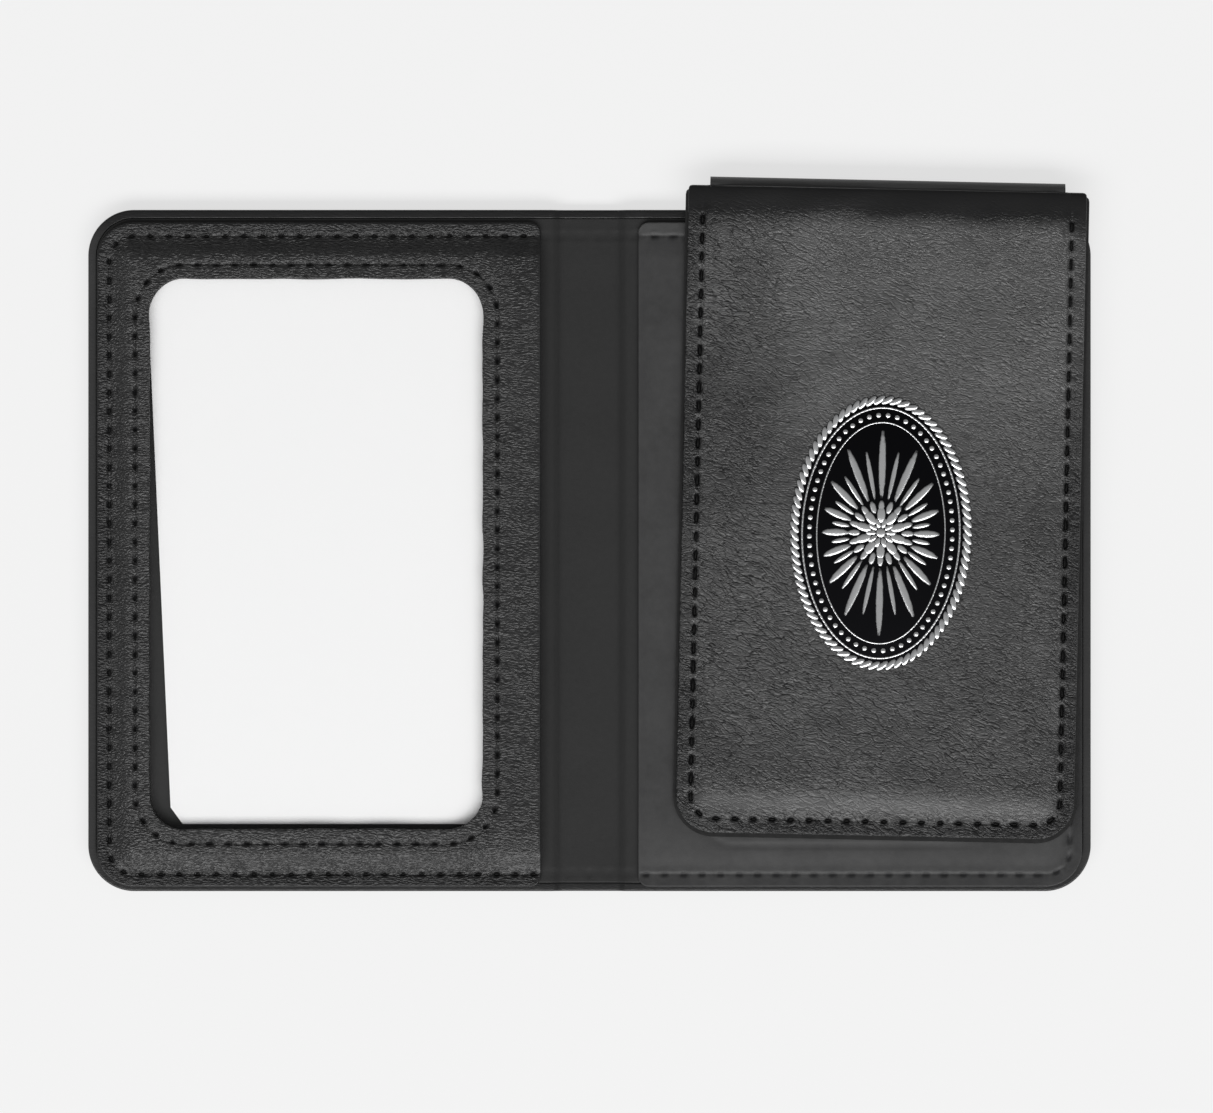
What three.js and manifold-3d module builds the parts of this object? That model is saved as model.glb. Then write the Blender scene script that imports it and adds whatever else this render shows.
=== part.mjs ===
// A bifold identity-card wallet, lying open and face up. The left half holds a card behind a
// clear window, the right half has a slip pocket, and a stitched badge flap hangs over it from a
// leather tongue at the top edge. Millimetres, +Z up, the origin under the middle of the spine.
import * as THREE from "three";
import { mergeVertices } from "three/addons/utils/BufferGeometryUtils.js";
import Module from "manifold-3d";

const wasm = await Module();
wasm.setup();

// Sheet thicknesses.
const COVER = 1.0;
const BOARD = 0.9;
const LINING = 0.35;
const LEATHER = 0.75;
const CLEAR_SHEET = 0.25;
const FLAP_BACKING = 0.45;
const TONGUE = 0.7;

// The cover, with its edge turned up round the boards, and the fold lines beside the spine.
const SPINE_WIDTH = 7.2;
const FOLD_GAP = 0.1;
const SEAM_FOLD_GAP = 1.4; // left in the edge seam, whose stitches stand higher than the fold turns
const COVER_CORNER = 6.9;
const RIM_WIDTH = 1.2;
const RIM_ROUND = 0.4;
const RIM_CLEARANCE = 0.1;
const BOARD_SETBACK = 2.1; // from a fold line to the board beside it
const LINING_SLOPE = 1.7; // run over which the lining climbs from the spine onto a board

// The window, its clear sheet, and the leather left round it in the left panel.
const WINDOW = { width: 49.9, height: 82.4, corner: 5.2 };
const BORDER = { side: 7.8, mouth: 8.7, top: 8.2, bottom: 8.5 };
const SHEET_OVERLAP = 3.2;

// The inner panels, alike on each side of the spine, and unsewn along the spine.
const PANEL_CORNER = 5.4;
const MOUTH_CORNER = 1.2; // corners of an unsewn side
const PANEL_SETBACK = 3.7; // from a fold line to the panel beside it
const MARGIN = { side: 1.5, top: 2.2, bottom: 0.9 }; // cover that shows round the panels
const SLIP_POCKET_SLACK = 0.1;

// The card that the left pocket is made for, and the blank insert that lies in it.
const CARD_THICKNESS = 0.76;
const POCKET_CLEARANCE = 0.14;
const INSERT_THICKNESS = 0.5;
const INSERT_BEYOND = { side: 0.5, mouth: 3.6, top: 1.3, bottom: -0.7 }; // beyond the window's edges
const INSERT_SLANT = 3.7;
const INSERT_CLIP = { width: 1.7, height: 2.5 };

// The badge flap and the tongue that carries it.
const FLAP_WIDTH = 59.7;
const FLAP_LENGTH = 97.0;
const FLAP_CORNER = 5.6;
const FLAP_CENTRE = 44.7;
const FLAP_SKEW = THREE.MathUtils.degToRad(-1.2);
const FLAP_REST_GAP = 0.2;
const FLAP_BOARD_INSET = 3.4;
const ROLL = { run: 4.6, drop: 0.5 }; // how the front leather rolls down at its top edge
const TONGUE_SIDE_GAP = 0.1; // from the tongue to the leather that comes down beside it
const TONGUE_REACH = 2.8; // from the cover's top edge to the bend
const TONGUE_ROOT = 6.5; // length held inside the cover
const TONGUE_TOP = 8; // length held inside the flap
const FLAP_OVERHANG = 0.3; // of the front leather over the bend
const BEND_CLEARANCE = 0.3;
const NOTCH_CLEARANCE = 0.3;

// Stitching.
const SEAM_INSET = 1.7;
const WINDOW_SEAM_INSET = 2.2;
const FLAP_SEAM_INSET = 2.2;
const STITCH = 2.8;
const THREAD = { width: 0.44, height: 0.36, dip: 0.16, clearance: 0.1 };
const VALLEY = { depth: 0.3, reach: 0.45 };
const PANEL_LIFT_RUN = 2.4; // run over which a panel climbs from its seam onto what it covers
const FLAP_LIFT_RUN = 0.5;

// The struck medallion on the flap: a rope border round rays and a rosette.
const MEDAL = { width: 27.9, height: 41.8, thickness: 0.38, down: 51.6, border: 2.3 };
const MEDAL_LOBES = 36;
const MEDAL_RAYS = 12;
const MEDAL_PETALS = 6;
const LOBE_DEPTH = 0.28;
const MEDAL_ROSETTE = 5.4;
const MEDAL_STEPS = 144;

const CORNER_STEPS = 6;
const BEND_STEPS = 12;
const ROLL_STEPS = 5;
const EDGE_ROUND = 0.2;

// Places worked out from the sizes above.
const foldX = SPINE_WIDTH / 2;
const panelX = foldX + PANEL_SETBACK;
const boardX = foldX + BOARD_SETBACK;
const panelWidth = BORDER.side + WINDOW.width + BORDER.mouth;
const panelHeight = BORDER.top + WINDOW.height + BORDER.bottom;
const coverX = panelX + panelWidth + MARGIN.side;
const coverY = (panelHeight + MARGIN.top + MARGIN.bottom) / 2;
const boardTop = COVER + BOARD;
const liningTop = boardTop + LINING;
const spineTop = COVER + LINING;
const sheetBottom = liningTop + CARD_THICKNESS + POCKET_CLEARANCE;
const frameRise = sheetBottom + CLEAR_SHEET - liningTop;
const flapBottom = liningTop + SLIP_POCKET_SLACK + LEATHER + FLAP_REST_GAP;
const flapMiddle = flapBottom + FLAP_BACKING;
const flapTop = flapMiddle + TONGUE + LEATHER;
const rootLevel = boardTop - TONGUE / 2;
const topLevel = flapMiddle + TONGUE / 2;
const bendRadius = (topLevel - rootLevel) / 2;
const valleyFloor = LEATHER - VALLEY.depth;
const bendY = coverY + TONGUE_REACH;
const tongueWidth = FLAP_WIDTH - 2 * (FLAP_SEAM_INSET + VALLEY.reach + FLAP_LIFT_RUN + TONGUE_SIDE_GAP);

const coverEdge = { left: -coverX, right: coverX, top: coverY, bottom: -coverY, corner: COVER_CORNER };
const rightPanel = {
  left: panelX,
  right: panelX + panelWidth,
  top: coverY - MARGIN.top,
  bottom: -coverY + MARGIN.bottom,
  corner: PANEL_CORNER,
  mouth: "left",
};
const leftPanel = { ...rightPanel, left: -rightPanel.right, right: -rightPanel.left, mouth: "right" };
const windowEdge = {
  left: leftPanel.left + BORDER.side,
  right: leftPanel.right - BORDER.mouth,
  top: leftPanel.top - BORDER.top,
  bottom: leftPanel.bottom + BORDER.bottom,
  corner: WINDOW.corner,
};
// The flap is drawn with the middle of its bend at the origin.
const flapEdge = {
  left: -FLAP_WIDTH / 2,
  right: FLAP_WIDTH / 2,
  top: FLAP_OVERHANG,
  bottom: FLAP_OVERHANG - FLAP_LENGTH,
  corner: FLAP_CORNER,
  mouth: "top",
};

const grained = new THREE.MeshStandardMaterial({ color: 0x2b2b2c, roughness: 0.5, metalness: 0 });
const coverLeather = new THREE.MeshStandardMaterial({ color: 0x242425, roughness: 0.55, metalness: 0 });
const liningSheet = new THREE.MeshStandardMaterial({ color: 0x1f1f20, roughness: 0.75, metalness: 0 });
const greyboard = new THREE.MeshStandardMaterial({ color: 0x8d8980, roughness: 0.95, metalness: 0 });
const clearVinyl = new THREE.MeshStandardMaterial({ color: 0xf4f6f7, roughness: 0.1, metalness: 0 });
clearVinyl.transparent = true;
clearVinyl.opacity = 0.25;
const whiteCard = new THREE.MeshStandardMaterial({ color: 0xf2f2f1, roughness: 0.7, metalness: 0 });
const blackThread = new THREE.MeshStandardMaterial({ color: 0x141414, roughness: 0.7, metalness: 0 });
const silver = new THREE.MeshStandardMaterial({ color: 0xc9cbcc, roughness: 0.2, metalness: 1 });

/** A geometry from points and triangles, turned so that its faces point outwards. */
function surface(points, triangles) {
  const [a, b, c] = [0, 1, 2].map(() => new THREE.Vector3());
  let volume = 0;
  for (const [i, j, k] of triangles) {
    volume += a.copy(points[i]).dot(b.copy(points[j]).cross(c.copy(points[k])));
  }
  const outwards = ([i, j, k]) => (volume < 0 ? [i, k, j] : [i, j, k]);
  return new THREE.BufferGeometry().setFromPoints(points).setIndex(triangles.flatMap(outwards));
}

/**
 * A closed skin through rings of as many points each, joined end to end or capped at both ends.
 * A ring's first half mirrors its second, so that a cap is a ladder of rungs between the two.
 */
function loft(rings, joined = false) {
  const count = rings[0].length;
  const triangles = [];
  const quad = (a, b, c, d) => triangles.push([a, b, c], [a, c, d]);
  const bands = joined ? rings.length : rings.length - 1;
  for (let band = 0; band < bands; band++) {
    const near = band * count;
    const far = ((band + 1) % rings.length) * count;
    for (let i = 0; i < count; i++) {
      const next = (i + 1) % count;
      quad(near + i, near + next, far + next, far + i);
    }
  }
  if (!joined) {
    const last = (rings.length - 1) * count;
    for (let i = 0; i < count / 2 - 1; i++) {
      quad(i, count - 1 - i, count - 2 - i, i + 1);
      quad(last + i, last + i + 1, last + count - 2 - i, last + count - 1 - i);
    }
  }
  return surface(rings.flat(), triangles);
}

/** A geometry as a solid that can be cut and joined. */
function solidOf(geometry) {
  const bare = geometry.clone();
  bare.deleteAttribute("normal");
  bare.deleteAttribute("uv");
  const merged = mergeVertices(bare, 1e-4);
  const vertProperties = new Float32Array(merged.attributes.position.array);
  const triVerts = new Uint32Array(merged.index.array);
  return new wasm.Manifold(new wasm.Mesh({ numProp: 3, vertProperties, triVerts }));
}

/** A cut or joined solid as a geometry again. */
function geometryOf(solid) {
  const mesh = solid.getMesh();
  return new THREE.BufferGeometry()
    .setAttribute("position", new THREE.BufferAttribute(mesh.vertProperties, 3))
    .setIndex(new THREE.BufferAttribute(mesh.triVerts, 1));
}

/** What two geometries share. */
const common = (a, b) => geometryOf(solidOf(a).intersect(solidOf(b)));

/** The first geometry less the second. */
const without = (a, b) => geometryOf(solidOf(a).subtract(solidOf(b)));

/** The radius of one corner of an edge taken in by an inset. */
function cornerRadius(edge, side, end, inset) {
  const unsewn = edge.mouth === side || edge.mouth === end;
  return Math.max((unsewn ? MOUTH_CORNER : edge.corner) - inset, 0.05);
}

/** Half of a ring: from the foot of one side to its head, with extra rows up the side. */
function sideOf(edge, side, inset, rows) {
  const middle = (edge.left + edge.right) / 2;
  const away = side === "right" ? 1 : -1;
  const reach = (edge.right - edge.left) / 2 - inset;
  const half = [];
  const corner = (end, level, from) => {
    const radius = cornerRadius(edge, side, end, inset);
    const centreY = level + (end === "bottom" ? radius : -radius);
    for (let i = 0; i <= CORNER_STEPS; i++) {
      const angle = from + (Math.PI / 2) * (i / CORNER_STEPS);
      half.push([reach - radius + radius * Math.cos(angle), centreY + radius * Math.sin(angle)]);
    }
  };
  corner("bottom", edge.bottom + inset, -Math.PI / 2);
  half.push(...rows.map((y) => [reach, y]));
  corner("top", edge.top - inset, 0);
  return half.map(([x, y]) => [middle + away * x, y]);
}

/** A ring round an edge taken in by an inset, at a height. */
function ringOf(edge, inset, z, rows = []) {
  const right = sideOf(edge, "right", inset, rows);
  const left = sideOf(edge, "left", inset, rows).reverse();
  return [...right, ...left].map(([x, y]) => new THREE.Vector3(x, y, z));
}

/** A flat plate inside an edge, its corners rounded in plan. */
const plate = (edge, inset, low, high) => loft([ringOf(edge, inset, low), ringOf(edge, inset, high)]);

/** A box between two corners. */
function block(low, high) {
  const size = high.map((value, i) => value - low[i]);
  const middle = high.map((value, i) => (value + low[i]) / 2);
  return new THREE.BoxGeometry(...size).translate(...middle);
}

/** An outline in X and Z run along the whole height of the wallet. */
function alongY(outline) {
  const shape = new THREE.Shape(outline.map(([x, z]) => new THREE.Vector2(x, z)));
  const long = new THREE.ExtrudeGeometry(shape, { depth: 3 * coverY, bevelEnabled: false });
  return long.rotateX(Math.PI / 2).translate(0, 1.5 * coverY, 0);
}

/** The same points on the other side of the spine, so that an outline closes on itself. */
const mirrored = (outline) => [...outline, ...outline.map(([x, z]) => [-x, z]).reverse()];

/**
 * A leather sheet sewn along its edge, pressed flat at the seam, from which it climbs onto what
 * it covers. Its unsewn side is drawn further out and then cut, so that it stays lifted there.
 */
function sewnSheet(edge, { base, rise, seam, run, window, rows = [] }) {
  const valleyEnd = seam + VALLEY.reach;
  const lifted = valleyEnd + run;
  const top = base + LEATHER;
  const outwards = { left: -1, right: 1, top: 1 }[edge.mouth];
  const wide = { ...edge, mouth: undefined, [edge.mouth]: edge[edge.mouth] + outwards * 2 * lifted };
  const rings = [
    [lifted, base + rise],
    [valleyEnd, base],
    [0, base],
    [0, top - EDGE_ROUND],
    [EDGE_ROUND, top],
    [seam - VALLEY.reach, top],
    [seam, top - VALLEY.depth],
    [valleyEnd, top],
    [lifted, top + rise],
  ].map(([inset, z]) => ringOf(wide, inset, z, rows));
  if (window) {
    const beside = [
      [WINDOW_SEAM_INSET + VALLEY.reach, top + rise],
      [WINDOW_SEAM_INSET, top + rise - VALLEY.depth],
      [WINDOW_SEAM_INSET - VALLEY.reach, top + rise],
      [EDGE_ROUND, top + rise],
      [0, top + rise - EDGE_ROUND],
      [0, base + rise],
    ];
    rings.push(...beside.map(([outset, z]) => ringOf(window, -outset, z)));
  }
  return { rings, joined: Boolean(window) };
}

/** A sewn sheet trimmed to its own outline. */
function trimmed(edge, { rings, joined }) {
  const levels = rings.flat().map((point) => point.z);
  return common(loft(rings, joined), plate(edge, 0, Math.min(...levels) - 1, Math.max(...levels) + 1));
}

/** The points of a seam along a line: two to a stitch, and clear of all that lies near them. */
function stitchPoints(line, levelAt, closed) {
  const path = new THREE.CurvePath();
  const corners = closed ? [...line, line[0]] : line;
  for (let i = 1; i < corners.length; i++) path.add(new THREE.LineCurve3(corners[i - 1], corners[i]));
  const length = path.getLength();
  const stitches = Math.round(length / STITCH);
  const points = path.getSpacedPoints(2 * stitches);
  if (closed) points.pop();
  const spacing = length / stitches / 2;
  points.forEach((point, i) => {
    const level = Math.max(...[-spacing, 0, spacing].map((aside) => levelAt(point.x + aside)));
    point.z = level + THREAD.clearance + THREAD.height / 2 + (i % 2 ? THREAD.dip : 0);
  });
  return points;
}

/** A thread along a line, which dips to a needle hole between each stitch and the next. */
function thread(line, levelAt, closed = false) {
  const points = stitchPoints(line, levelAt, closed);
  const last = points.length - 1;
  const rings = points.map((point, i) => {
    const before = closed ? points[(i + last) % (last + 1)] : points[Math.max(i - 1, 0)];
    const after = closed ? points[(i + 1) % (last + 1)] : points[Math.min(i + 1, last)];
    const along = after.clone().sub(before).setZ(0).normalize();
    const across = new THREE.Vector3(-along.y, along.x, 0).multiplyScalar(THREAD.width / 2);
    const up = new THREE.Vector3(0, 0, THREAD.height / 2);
    return [up, across, up.clone().negate(), across.clone().negate()].map((step) => step.add(point));
  });
  return loft(rings, closed);
}

/** How high the ground of the edge seam lies at a place across the wallet. */
function edgeSeamLevel(x) {
  const away = Math.abs(x);
  if (away > panelX) return liningTop + valleyFloor;
  const climbed = THREE.MathUtils.clamp((away - boardX) / LINING_SLOPE + 1, 0, 1);
  return THREE.MathUtils.lerp(spineTop, liningTop, climbed);
}

/** The line of the flap's seam, down one side, round the foot and up the other. */
function flapSeamLine() {
  const ring = ringOf(flapEdge, FLAP_SEAM_INSET, 0);
  const high = flapEdge.top - ROLL.run;
  const quarter = CORNER_STEPS + 1;
  const rightCorner = ring.slice(0, quarter);
  const leftCorner = ring.slice(-quarter);
  const above = (point) => new THREE.Vector3(point.x, high, 0);
  return [above(leftCorner[0]), ...leftCorner, ...rightCorner, above(rightCorner[quarter - 1])];
}

/** The cover with its turned-up edge, which is lower across the spine. */
function makeCover() {
  const tray = loft([
    ringOf(coverEdge, RIM_ROUND, 0),
    ringOf(coverEdge, 0, RIM_ROUND),
    ringOf(coverEdge, 0, liningTop - RIM_ROUND),
    ringOf(coverEdge, RIM_ROUND, liningTop),
    ringOf(coverEdge, RIM_WIDTH, liningTop),
    ringOf(coverEdge, RIM_WIDTH, COVER),
  ]);
  const below = -1;
  const envelope = mirrored([
    [boardX - LINING_SLOPE, spineTop],
    [boardX, liningTop],
    [2 * coverX, liningTop],
    [2 * coverX, below],
  ]);
  return common(tray, alongY(envelope));
}

/** The lining, which climbs from the spine onto the boards inside the cover's turned-up edge. */
function makeLining() {
  const low = boardX - LINING_SLOPE - RIM_CLEARANCE;
  const high = boardX - RIM_CLEARANCE;
  const section = mirrored([
    [low, spineTop],
    [high, liningTop],
    [2 * coverX, liningTop],
    [2 * coverX, boardTop],
    [high, boardTop],
    [low, COVER],
  ]);
  return common(alongY(section), plate(coverEdge, RIM_WIDTH + RIM_CLEARANCE, 0, 2 * liningTop));
}

/** The left, middle and right pieces of what crosses both fold lines, a gap apart. */
function splitAtFolds(geometry, gap = FOLD_GAP) {
  const far = 2 * coverX;
  const near = foldX - gap / 2;
  const slab = (from, to) => block([from, -far, -far], [to, far, far]);
  return [
    common(geometry, slab(-far, -near - gap)),
    common(geometry, slab(-near, near)),
    common(geometry, slab(near + gap, far)),
  ];
}

/** A stiffening board inside the cover, between a fold line and the turned-up edge. */
function makeBoard() {
  const inset = RIM_WIDTH + RIM_CLEARANCE;
  const inside = {
    left: boardX,
    right: coverX - inset,
    top: coverY - inset,
    bottom: inset - coverY,
    corner: COVER_CORNER - inset,
    mouth: "left",
  };
  return plate(inside, 0, COVER, boardTop);
}

/** The blank insert, cut by hand: one long side slants and its lower corner is clipped. */
function makeInsert() {
  const left = windowEdge.left - INSERT_BEYOND.side;
  const right = windowEdge.right + INSERT_BEYOND.mouth;
  const head = windowEdge.top + INSERT_BEYOND.top;
  const foot = windowEdge.bottom - INSERT_BEYOND.bottom;
  const slantAt = (y) => left + (INSERT_SLANT * (head - y)) / (head - foot);
  const clipTop = foot + INSERT_CLIP.height;
  const outline = [
    [slantAt(foot) + INSERT_CLIP.width, foot],
    [right, foot],
    [right, head],
    [left, head],
    [slantAt(clipTop), clipTop],
  ];
  const shape = new THREE.Shape(outline.map(([x, y]) => new THREE.Vector2(x, y)));
  const lift = (CARD_THICKNESS + POCKET_CLEARANCE - INSERT_THICKNESS) / 2;
  const card = new THREE.ExtrudeGeometry(shape, { depth: INSERT_THICKNESS, bevelEnabled: false });
  return card.translate(0, 0, liningTop + lift);
}

/** The front leather of the flap, which rolls down over the flap's top edge. */
function makeFlapFront() {
  const rows = [];
  for (let i = 0; i <= ROLL_STEPS; i++) {
    const angle = (Math.PI / 2) * (i / ROLL_STEPS);
    rows.push(flapEdge.top - ROLL.run * Math.cos(angle));
  }
  const sheet = sewnSheet(flapEdge, {
    base: flapMiddle,
    rise: TONGUE,
    seam: FLAP_SEAM_INSET,
    run: FLAP_LIFT_RUN,
    rows,
  });
  const firstOnTop = 3;
  for (const point of sheet.rings.slice(firstOnTop).flat()) {
    const along = THREE.MathUtils.clamp((point.y - flapEdge.top) / ROLL.run + 1, 0, 1);
    point.z -= ROLL.drop * (1 - Math.sqrt(1 - along * along));
  }
  return trimmed(flapEdge, sheet);
}

/** The bend of the tongue: half a turn round a line along X, open towards the flap. */
function makeBend() {
  const section = new THREE.Shape();
  section.absarc(0, 0, bendRadius + TONGUE / 2, -Math.PI / 2, Math.PI / 2, false);
  section.absarc(0, 0, bendRadius - TONGUE / 2, Math.PI / 2, -Math.PI / 2, true);
  const settings = { depth: tongueWidth, bevelEnabled: false, curveSegments: BEND_STEPS };
  const bend = new THREE.ExtrudeGeometry(section, settings);
  bend.rotateX(Math.PI / 2).rotateZ(Math.PI / 2);
  return bend.translate(-tongueWidth / 2, 0, rootLevel + bendRadius);
}

/** A straight length of the tongue, from beside the bend. */
function tongueLength(length, level) {
  const half = tongueWidth / 2;
  return block(
    [-half, -BEND_CLEARANCE - length, level - TONGUE / 2],
    [half, -BEND_CLEARANCE, level + TONGUE / 2],
  );
}

/** The medallion: each ring is the oval drawn in, with its lobes, rays or petals as heights. */
function makeMedal() {
  const { width, height, thickness, border } = MEDAL;
  const field = 1 - (2 * border) / width;
  const rosette = (2 * MEDAL_ROSETTE) / width;
  const wave = (count, angle) => (1 + Math.cos(count * angle)) / 2;
  const ring = (share, level, round = 0) => {
    const points = [];
    for (let i = 0; i < MEDAL_STEPS; i++) {
      const angle = 2 * Math.PI * ((i + 0.5) / MEDAL_STEPS) - Math.PI / 2;
      const lobed = 1 - (LOBE_DEPTH / width) * (1 - wave(MEDAL_LOBES, angle));
      const across = share > field ? share * lobed : share;
      const tall = THREE.MathUtils.lerp(height, width, round);
      const x = (across * width * Math.cos(angle)) / 2;
      const y = (across * tall * Math.sin(angle)) / 2;
      points.push(new THREE.Vector3(x, y, thickness * level(angle)));
    }
    return points;
  };
  const flat = (level) => () => level;
  const rope = (angle) => 0.72 + 0.28 * wave(MEDAL_LOBES, angle);
  const rays = (angle) => 0.35 + 0.45 * wave(MEDAL_RAYS, angle);
  const petals = (angle) => 0.45 + 0.55 * wave(MEDAL_PETALS, angle);
  return loft([
    ring(1, flat(0)),
    ring(1, flat(0.5)),
    ring(1 - (0.5 * border) / width, rope),
    ring(field + (0.5 * border) / width, rope),
    ring(field, flat(0.3)),
    ring(0.94 * field, flat(0.3)),
    ring(0.9 * field, rays, 0.1),
    ring(1.25 * rosette, rays, 0.9),
    ring(1.1 * rosette, flat(0.3), 1),
    ring(rosette, petals, 1),
    ring(0.35 * rosette, flat(0.45), 1),
    ring(0.3 * rosette, flat(0.95), 1),
  ]).translate(0, flapEdge.top - MEDAL.down, flapTop);
}

const wallet = new THREE.Group();
const flapGroup = new THREE.Group();
flapGroup.position.set(FLAP_CENTRE, bendY, 0);
flapGroup.rotation.z = FLAP_SKEW;
wallet.add(flapGroup);

/** Adds one piece to the wallet, or to the group of the flap. */
function add(name, geometry, material, group = wallet) {
  const mesh = new THREE.Mesh(geometry, material);
  mesh.name = name;
  group.add(mesh);
  return mesh;
}

// The tongue's root lies in a notch of the turned-up edge and of the board.
const root = tongueLength(TONGUE_REACH + TONGUE_ROOT - BEND_CLEARANCE, rootLevel);
flapGroup.updateMatrix();
const notch = block(
  [-tongueWidth / 2 - NOTCH_CLEARANCE, -TONGUE_REACH - TONGUE_ROOT - NOTCH_CLEARANCE, COVER],
  [tongueWidth / 2 + NOTCH_CLEARANCE, TONGUE_REACH, 2 * liningTop],
).applyMatrix4(flapGroup.matrix);

const [coverLeft, coverSpine, coverRight] = splitAtFolds(makeCover());
add("cover_left", coverLeft, coverLeather);
add("cover_spine", coverSpine, coverLeather);
add("cover_right", without(coverRight, notch), coverLeather);

const board = makeBoard();
add("board_left", board.clone().rotateZ(Math.PI), greyboard);
add("board_right", without(board, notch), greyboard);

const [liningLeft, liningSpine, liningRight] = splitAtFolds(makeLining());
add("lining_left", liningLeft, liningSheet);
add("lining_spine", liningSpine, liningSheet);
add("lining_right", liningRight, liningSheet);

const panelSeam = { base: liningTop, seam: SEAM_INSET, run: PANEL_LIFT_RUN };
const frameSheet = sewnSheet(leftPanel, { ...panelSeam, rise: frameRise, window: windowEdge });
const pocketSheet = sewnSheet(rightPanel, { ...panelSeam, rise: SLIP_POCKET_SLACK });
add("window_frame", trimmed(leftPanel, frameSheet), grained);
add("clear_window", plate(windowEdge, -SHEET_OVERLAP, sheetBottom, sheetBottom + CLEAR_SHEET), clearVinyl);
add("blank_insert", makeInsert(), whiteCard);
add("slip_pocket", trimmed(rightPanel, pocketSheet), liningSheet);

add("tongue_root", root, coverLeather, flapGroup);
add("tongue_bend", makeBend(), coverLeather, flapGroup);
add("tongue_top", tongueLength(TONGUE_TOP, topLevel), coverLeather, flapGroup);

const backingEdge = { ...flapEdge, top: -BEND_CLEARANCE };
const boardHead = -BEND_CLEARANCE - TONGUE_TOP - NOTCH_CLEARANCE;
const boardEdge = { ...flapEdge, top: boardHead + FLAP_BOARD_INSET };
const flapBoard = plate(boardEdge, FLAP_BOARD_INSET, flapMiddle, flapMiddle + TONGUE);
add("flap_backing", plate(backingEdge, 0, flapBottom, flapMiddle), liningSheet, flapGroup);
add("flap_board", flapBoard, greyboard, flapGroup);
add("flap_front", makeFlapFront(), grained, flapGroup);
add("medallion", makeMedal(), silver, flapGroup);

const windowLine = ringOf(windowEdge, -WINDOW_SEAM_INSET, 0);
const windowLevel = () => liningTop + frameRise + valleyFloor;
add("seam_window", thread(windowLine, windowLevel, true), blackThread);
add("seam_flap", thread(flapSeamLine(), () => flapMiddle + valleyFloor), blackThread, flapGroup);

// The edge seam runs right round the wallet, over both panels and across the spine.
const bothPanels = { ...leftPanel, right: rightPanel.right, mouth: undefined };
const edgeSeam = thread(ringOf(bothPanels, SEAM_INSET, 0), edgeSeamLevel, true);
const [seamLeft, seamSpine, seamRight] = splitAtFolds(edgeSeam, SEAM_FOLD_GAP);
const upperHalf = block([-coverX, 0, 0], [coverX, coverY, 2 * liningTop]);
add("seam_left", seamLeft, blackThread);
add("seam_right", seamRight, blackThread);
add("seam_spine_top", common(seamSpine, upperHalf), blackThread);
add("seam_spine_bottom", without(seamSpine, upperHalf), blackThread);

export default wallet;
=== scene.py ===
"""Looks of a black leather identity-card wallet that lies open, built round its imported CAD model.

The sizes below are millimetres. Every finished mesh is in metres, in the model's own frame:
+X from the window half to the flap half, +Y to the edge that carries the flap, +Z up.
"""
import logging
import math
from dataclasses import dataclass, field
from enum import Enum
from typing import Callable

import bmesh
import bpy
import numpy as np
from bmesh.types import BMEdge, BMesh, BMVert
from bpy.types import Material, NodeSocket, NodeTree, Object
from mathutils import Matrix, Vector


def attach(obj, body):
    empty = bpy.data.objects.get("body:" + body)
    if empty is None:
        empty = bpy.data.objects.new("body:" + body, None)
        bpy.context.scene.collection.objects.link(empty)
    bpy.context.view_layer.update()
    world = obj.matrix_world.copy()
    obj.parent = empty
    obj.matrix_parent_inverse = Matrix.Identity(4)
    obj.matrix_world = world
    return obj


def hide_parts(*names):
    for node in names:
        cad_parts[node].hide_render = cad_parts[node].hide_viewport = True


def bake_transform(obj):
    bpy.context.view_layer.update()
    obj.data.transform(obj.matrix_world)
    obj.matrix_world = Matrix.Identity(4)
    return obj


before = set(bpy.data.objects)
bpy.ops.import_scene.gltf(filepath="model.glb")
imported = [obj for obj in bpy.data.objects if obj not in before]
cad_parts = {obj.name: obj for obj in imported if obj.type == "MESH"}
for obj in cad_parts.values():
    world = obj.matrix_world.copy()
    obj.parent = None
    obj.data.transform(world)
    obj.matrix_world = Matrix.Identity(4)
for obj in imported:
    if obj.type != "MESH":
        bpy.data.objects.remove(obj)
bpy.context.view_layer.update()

MM = 0.001
REST = "rest"
GRAIN = "grain"
# The rubbing attribute holds how rubbed the leather is, and also the light and shade painted on it.
RUB_AND_LIGHT = "rub_and_light"

Array = np.ndarray
Heights = Callable[[Array, Array], Array]
WearAndLight = Callable[[Array, Array], tuple[Array, Array]]

log = logging.getLogger("wallet")


# Levels of the stacked sheets, as in the CAD model.

COVER_THICKNESS = 1.0
SPINE_TOP = 1.35
LINING_TOP = 2.25
LEATHER = 0.75
FRAME_RISE = 1.15
POCKET_RISE = 0.1
FLAP_BOTTOM = 3.3
FLAP_MIDDLE = 3.75
FLAP_RISE = 0.7
FLAP_TOP = FLAP_MIDDLE + LEATHER + FLAP_RISE
TONGUE_THICKNESS = 0.7
TONGUE_LOW = 1.55
TONGUE_HIGH = 4.1


def smooth_step(value: Array, low: float, high: float) -> Array:
    """Climbs from 0 to 1 between two values, level at both ends."""
    share = np.clip((value - low) / (high - low), 0, 1)
    return share * share * (3 - 2 * share)


def bump(value: Array, middle: float, reach: float) -> Array:
    """A soft hump of height 1 about a value."""
    return np.exp(-(((value - middle) / reach) ** 2))


def rounding(depth: Array, radius: float) -> Array:
    """How far a rounded edge has dropped at a depth inside it."""
    short = np.clip(1 - depth / radius, 0, 1)
    return radius * (1 - np.sqrt(1 - short * short))


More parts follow.
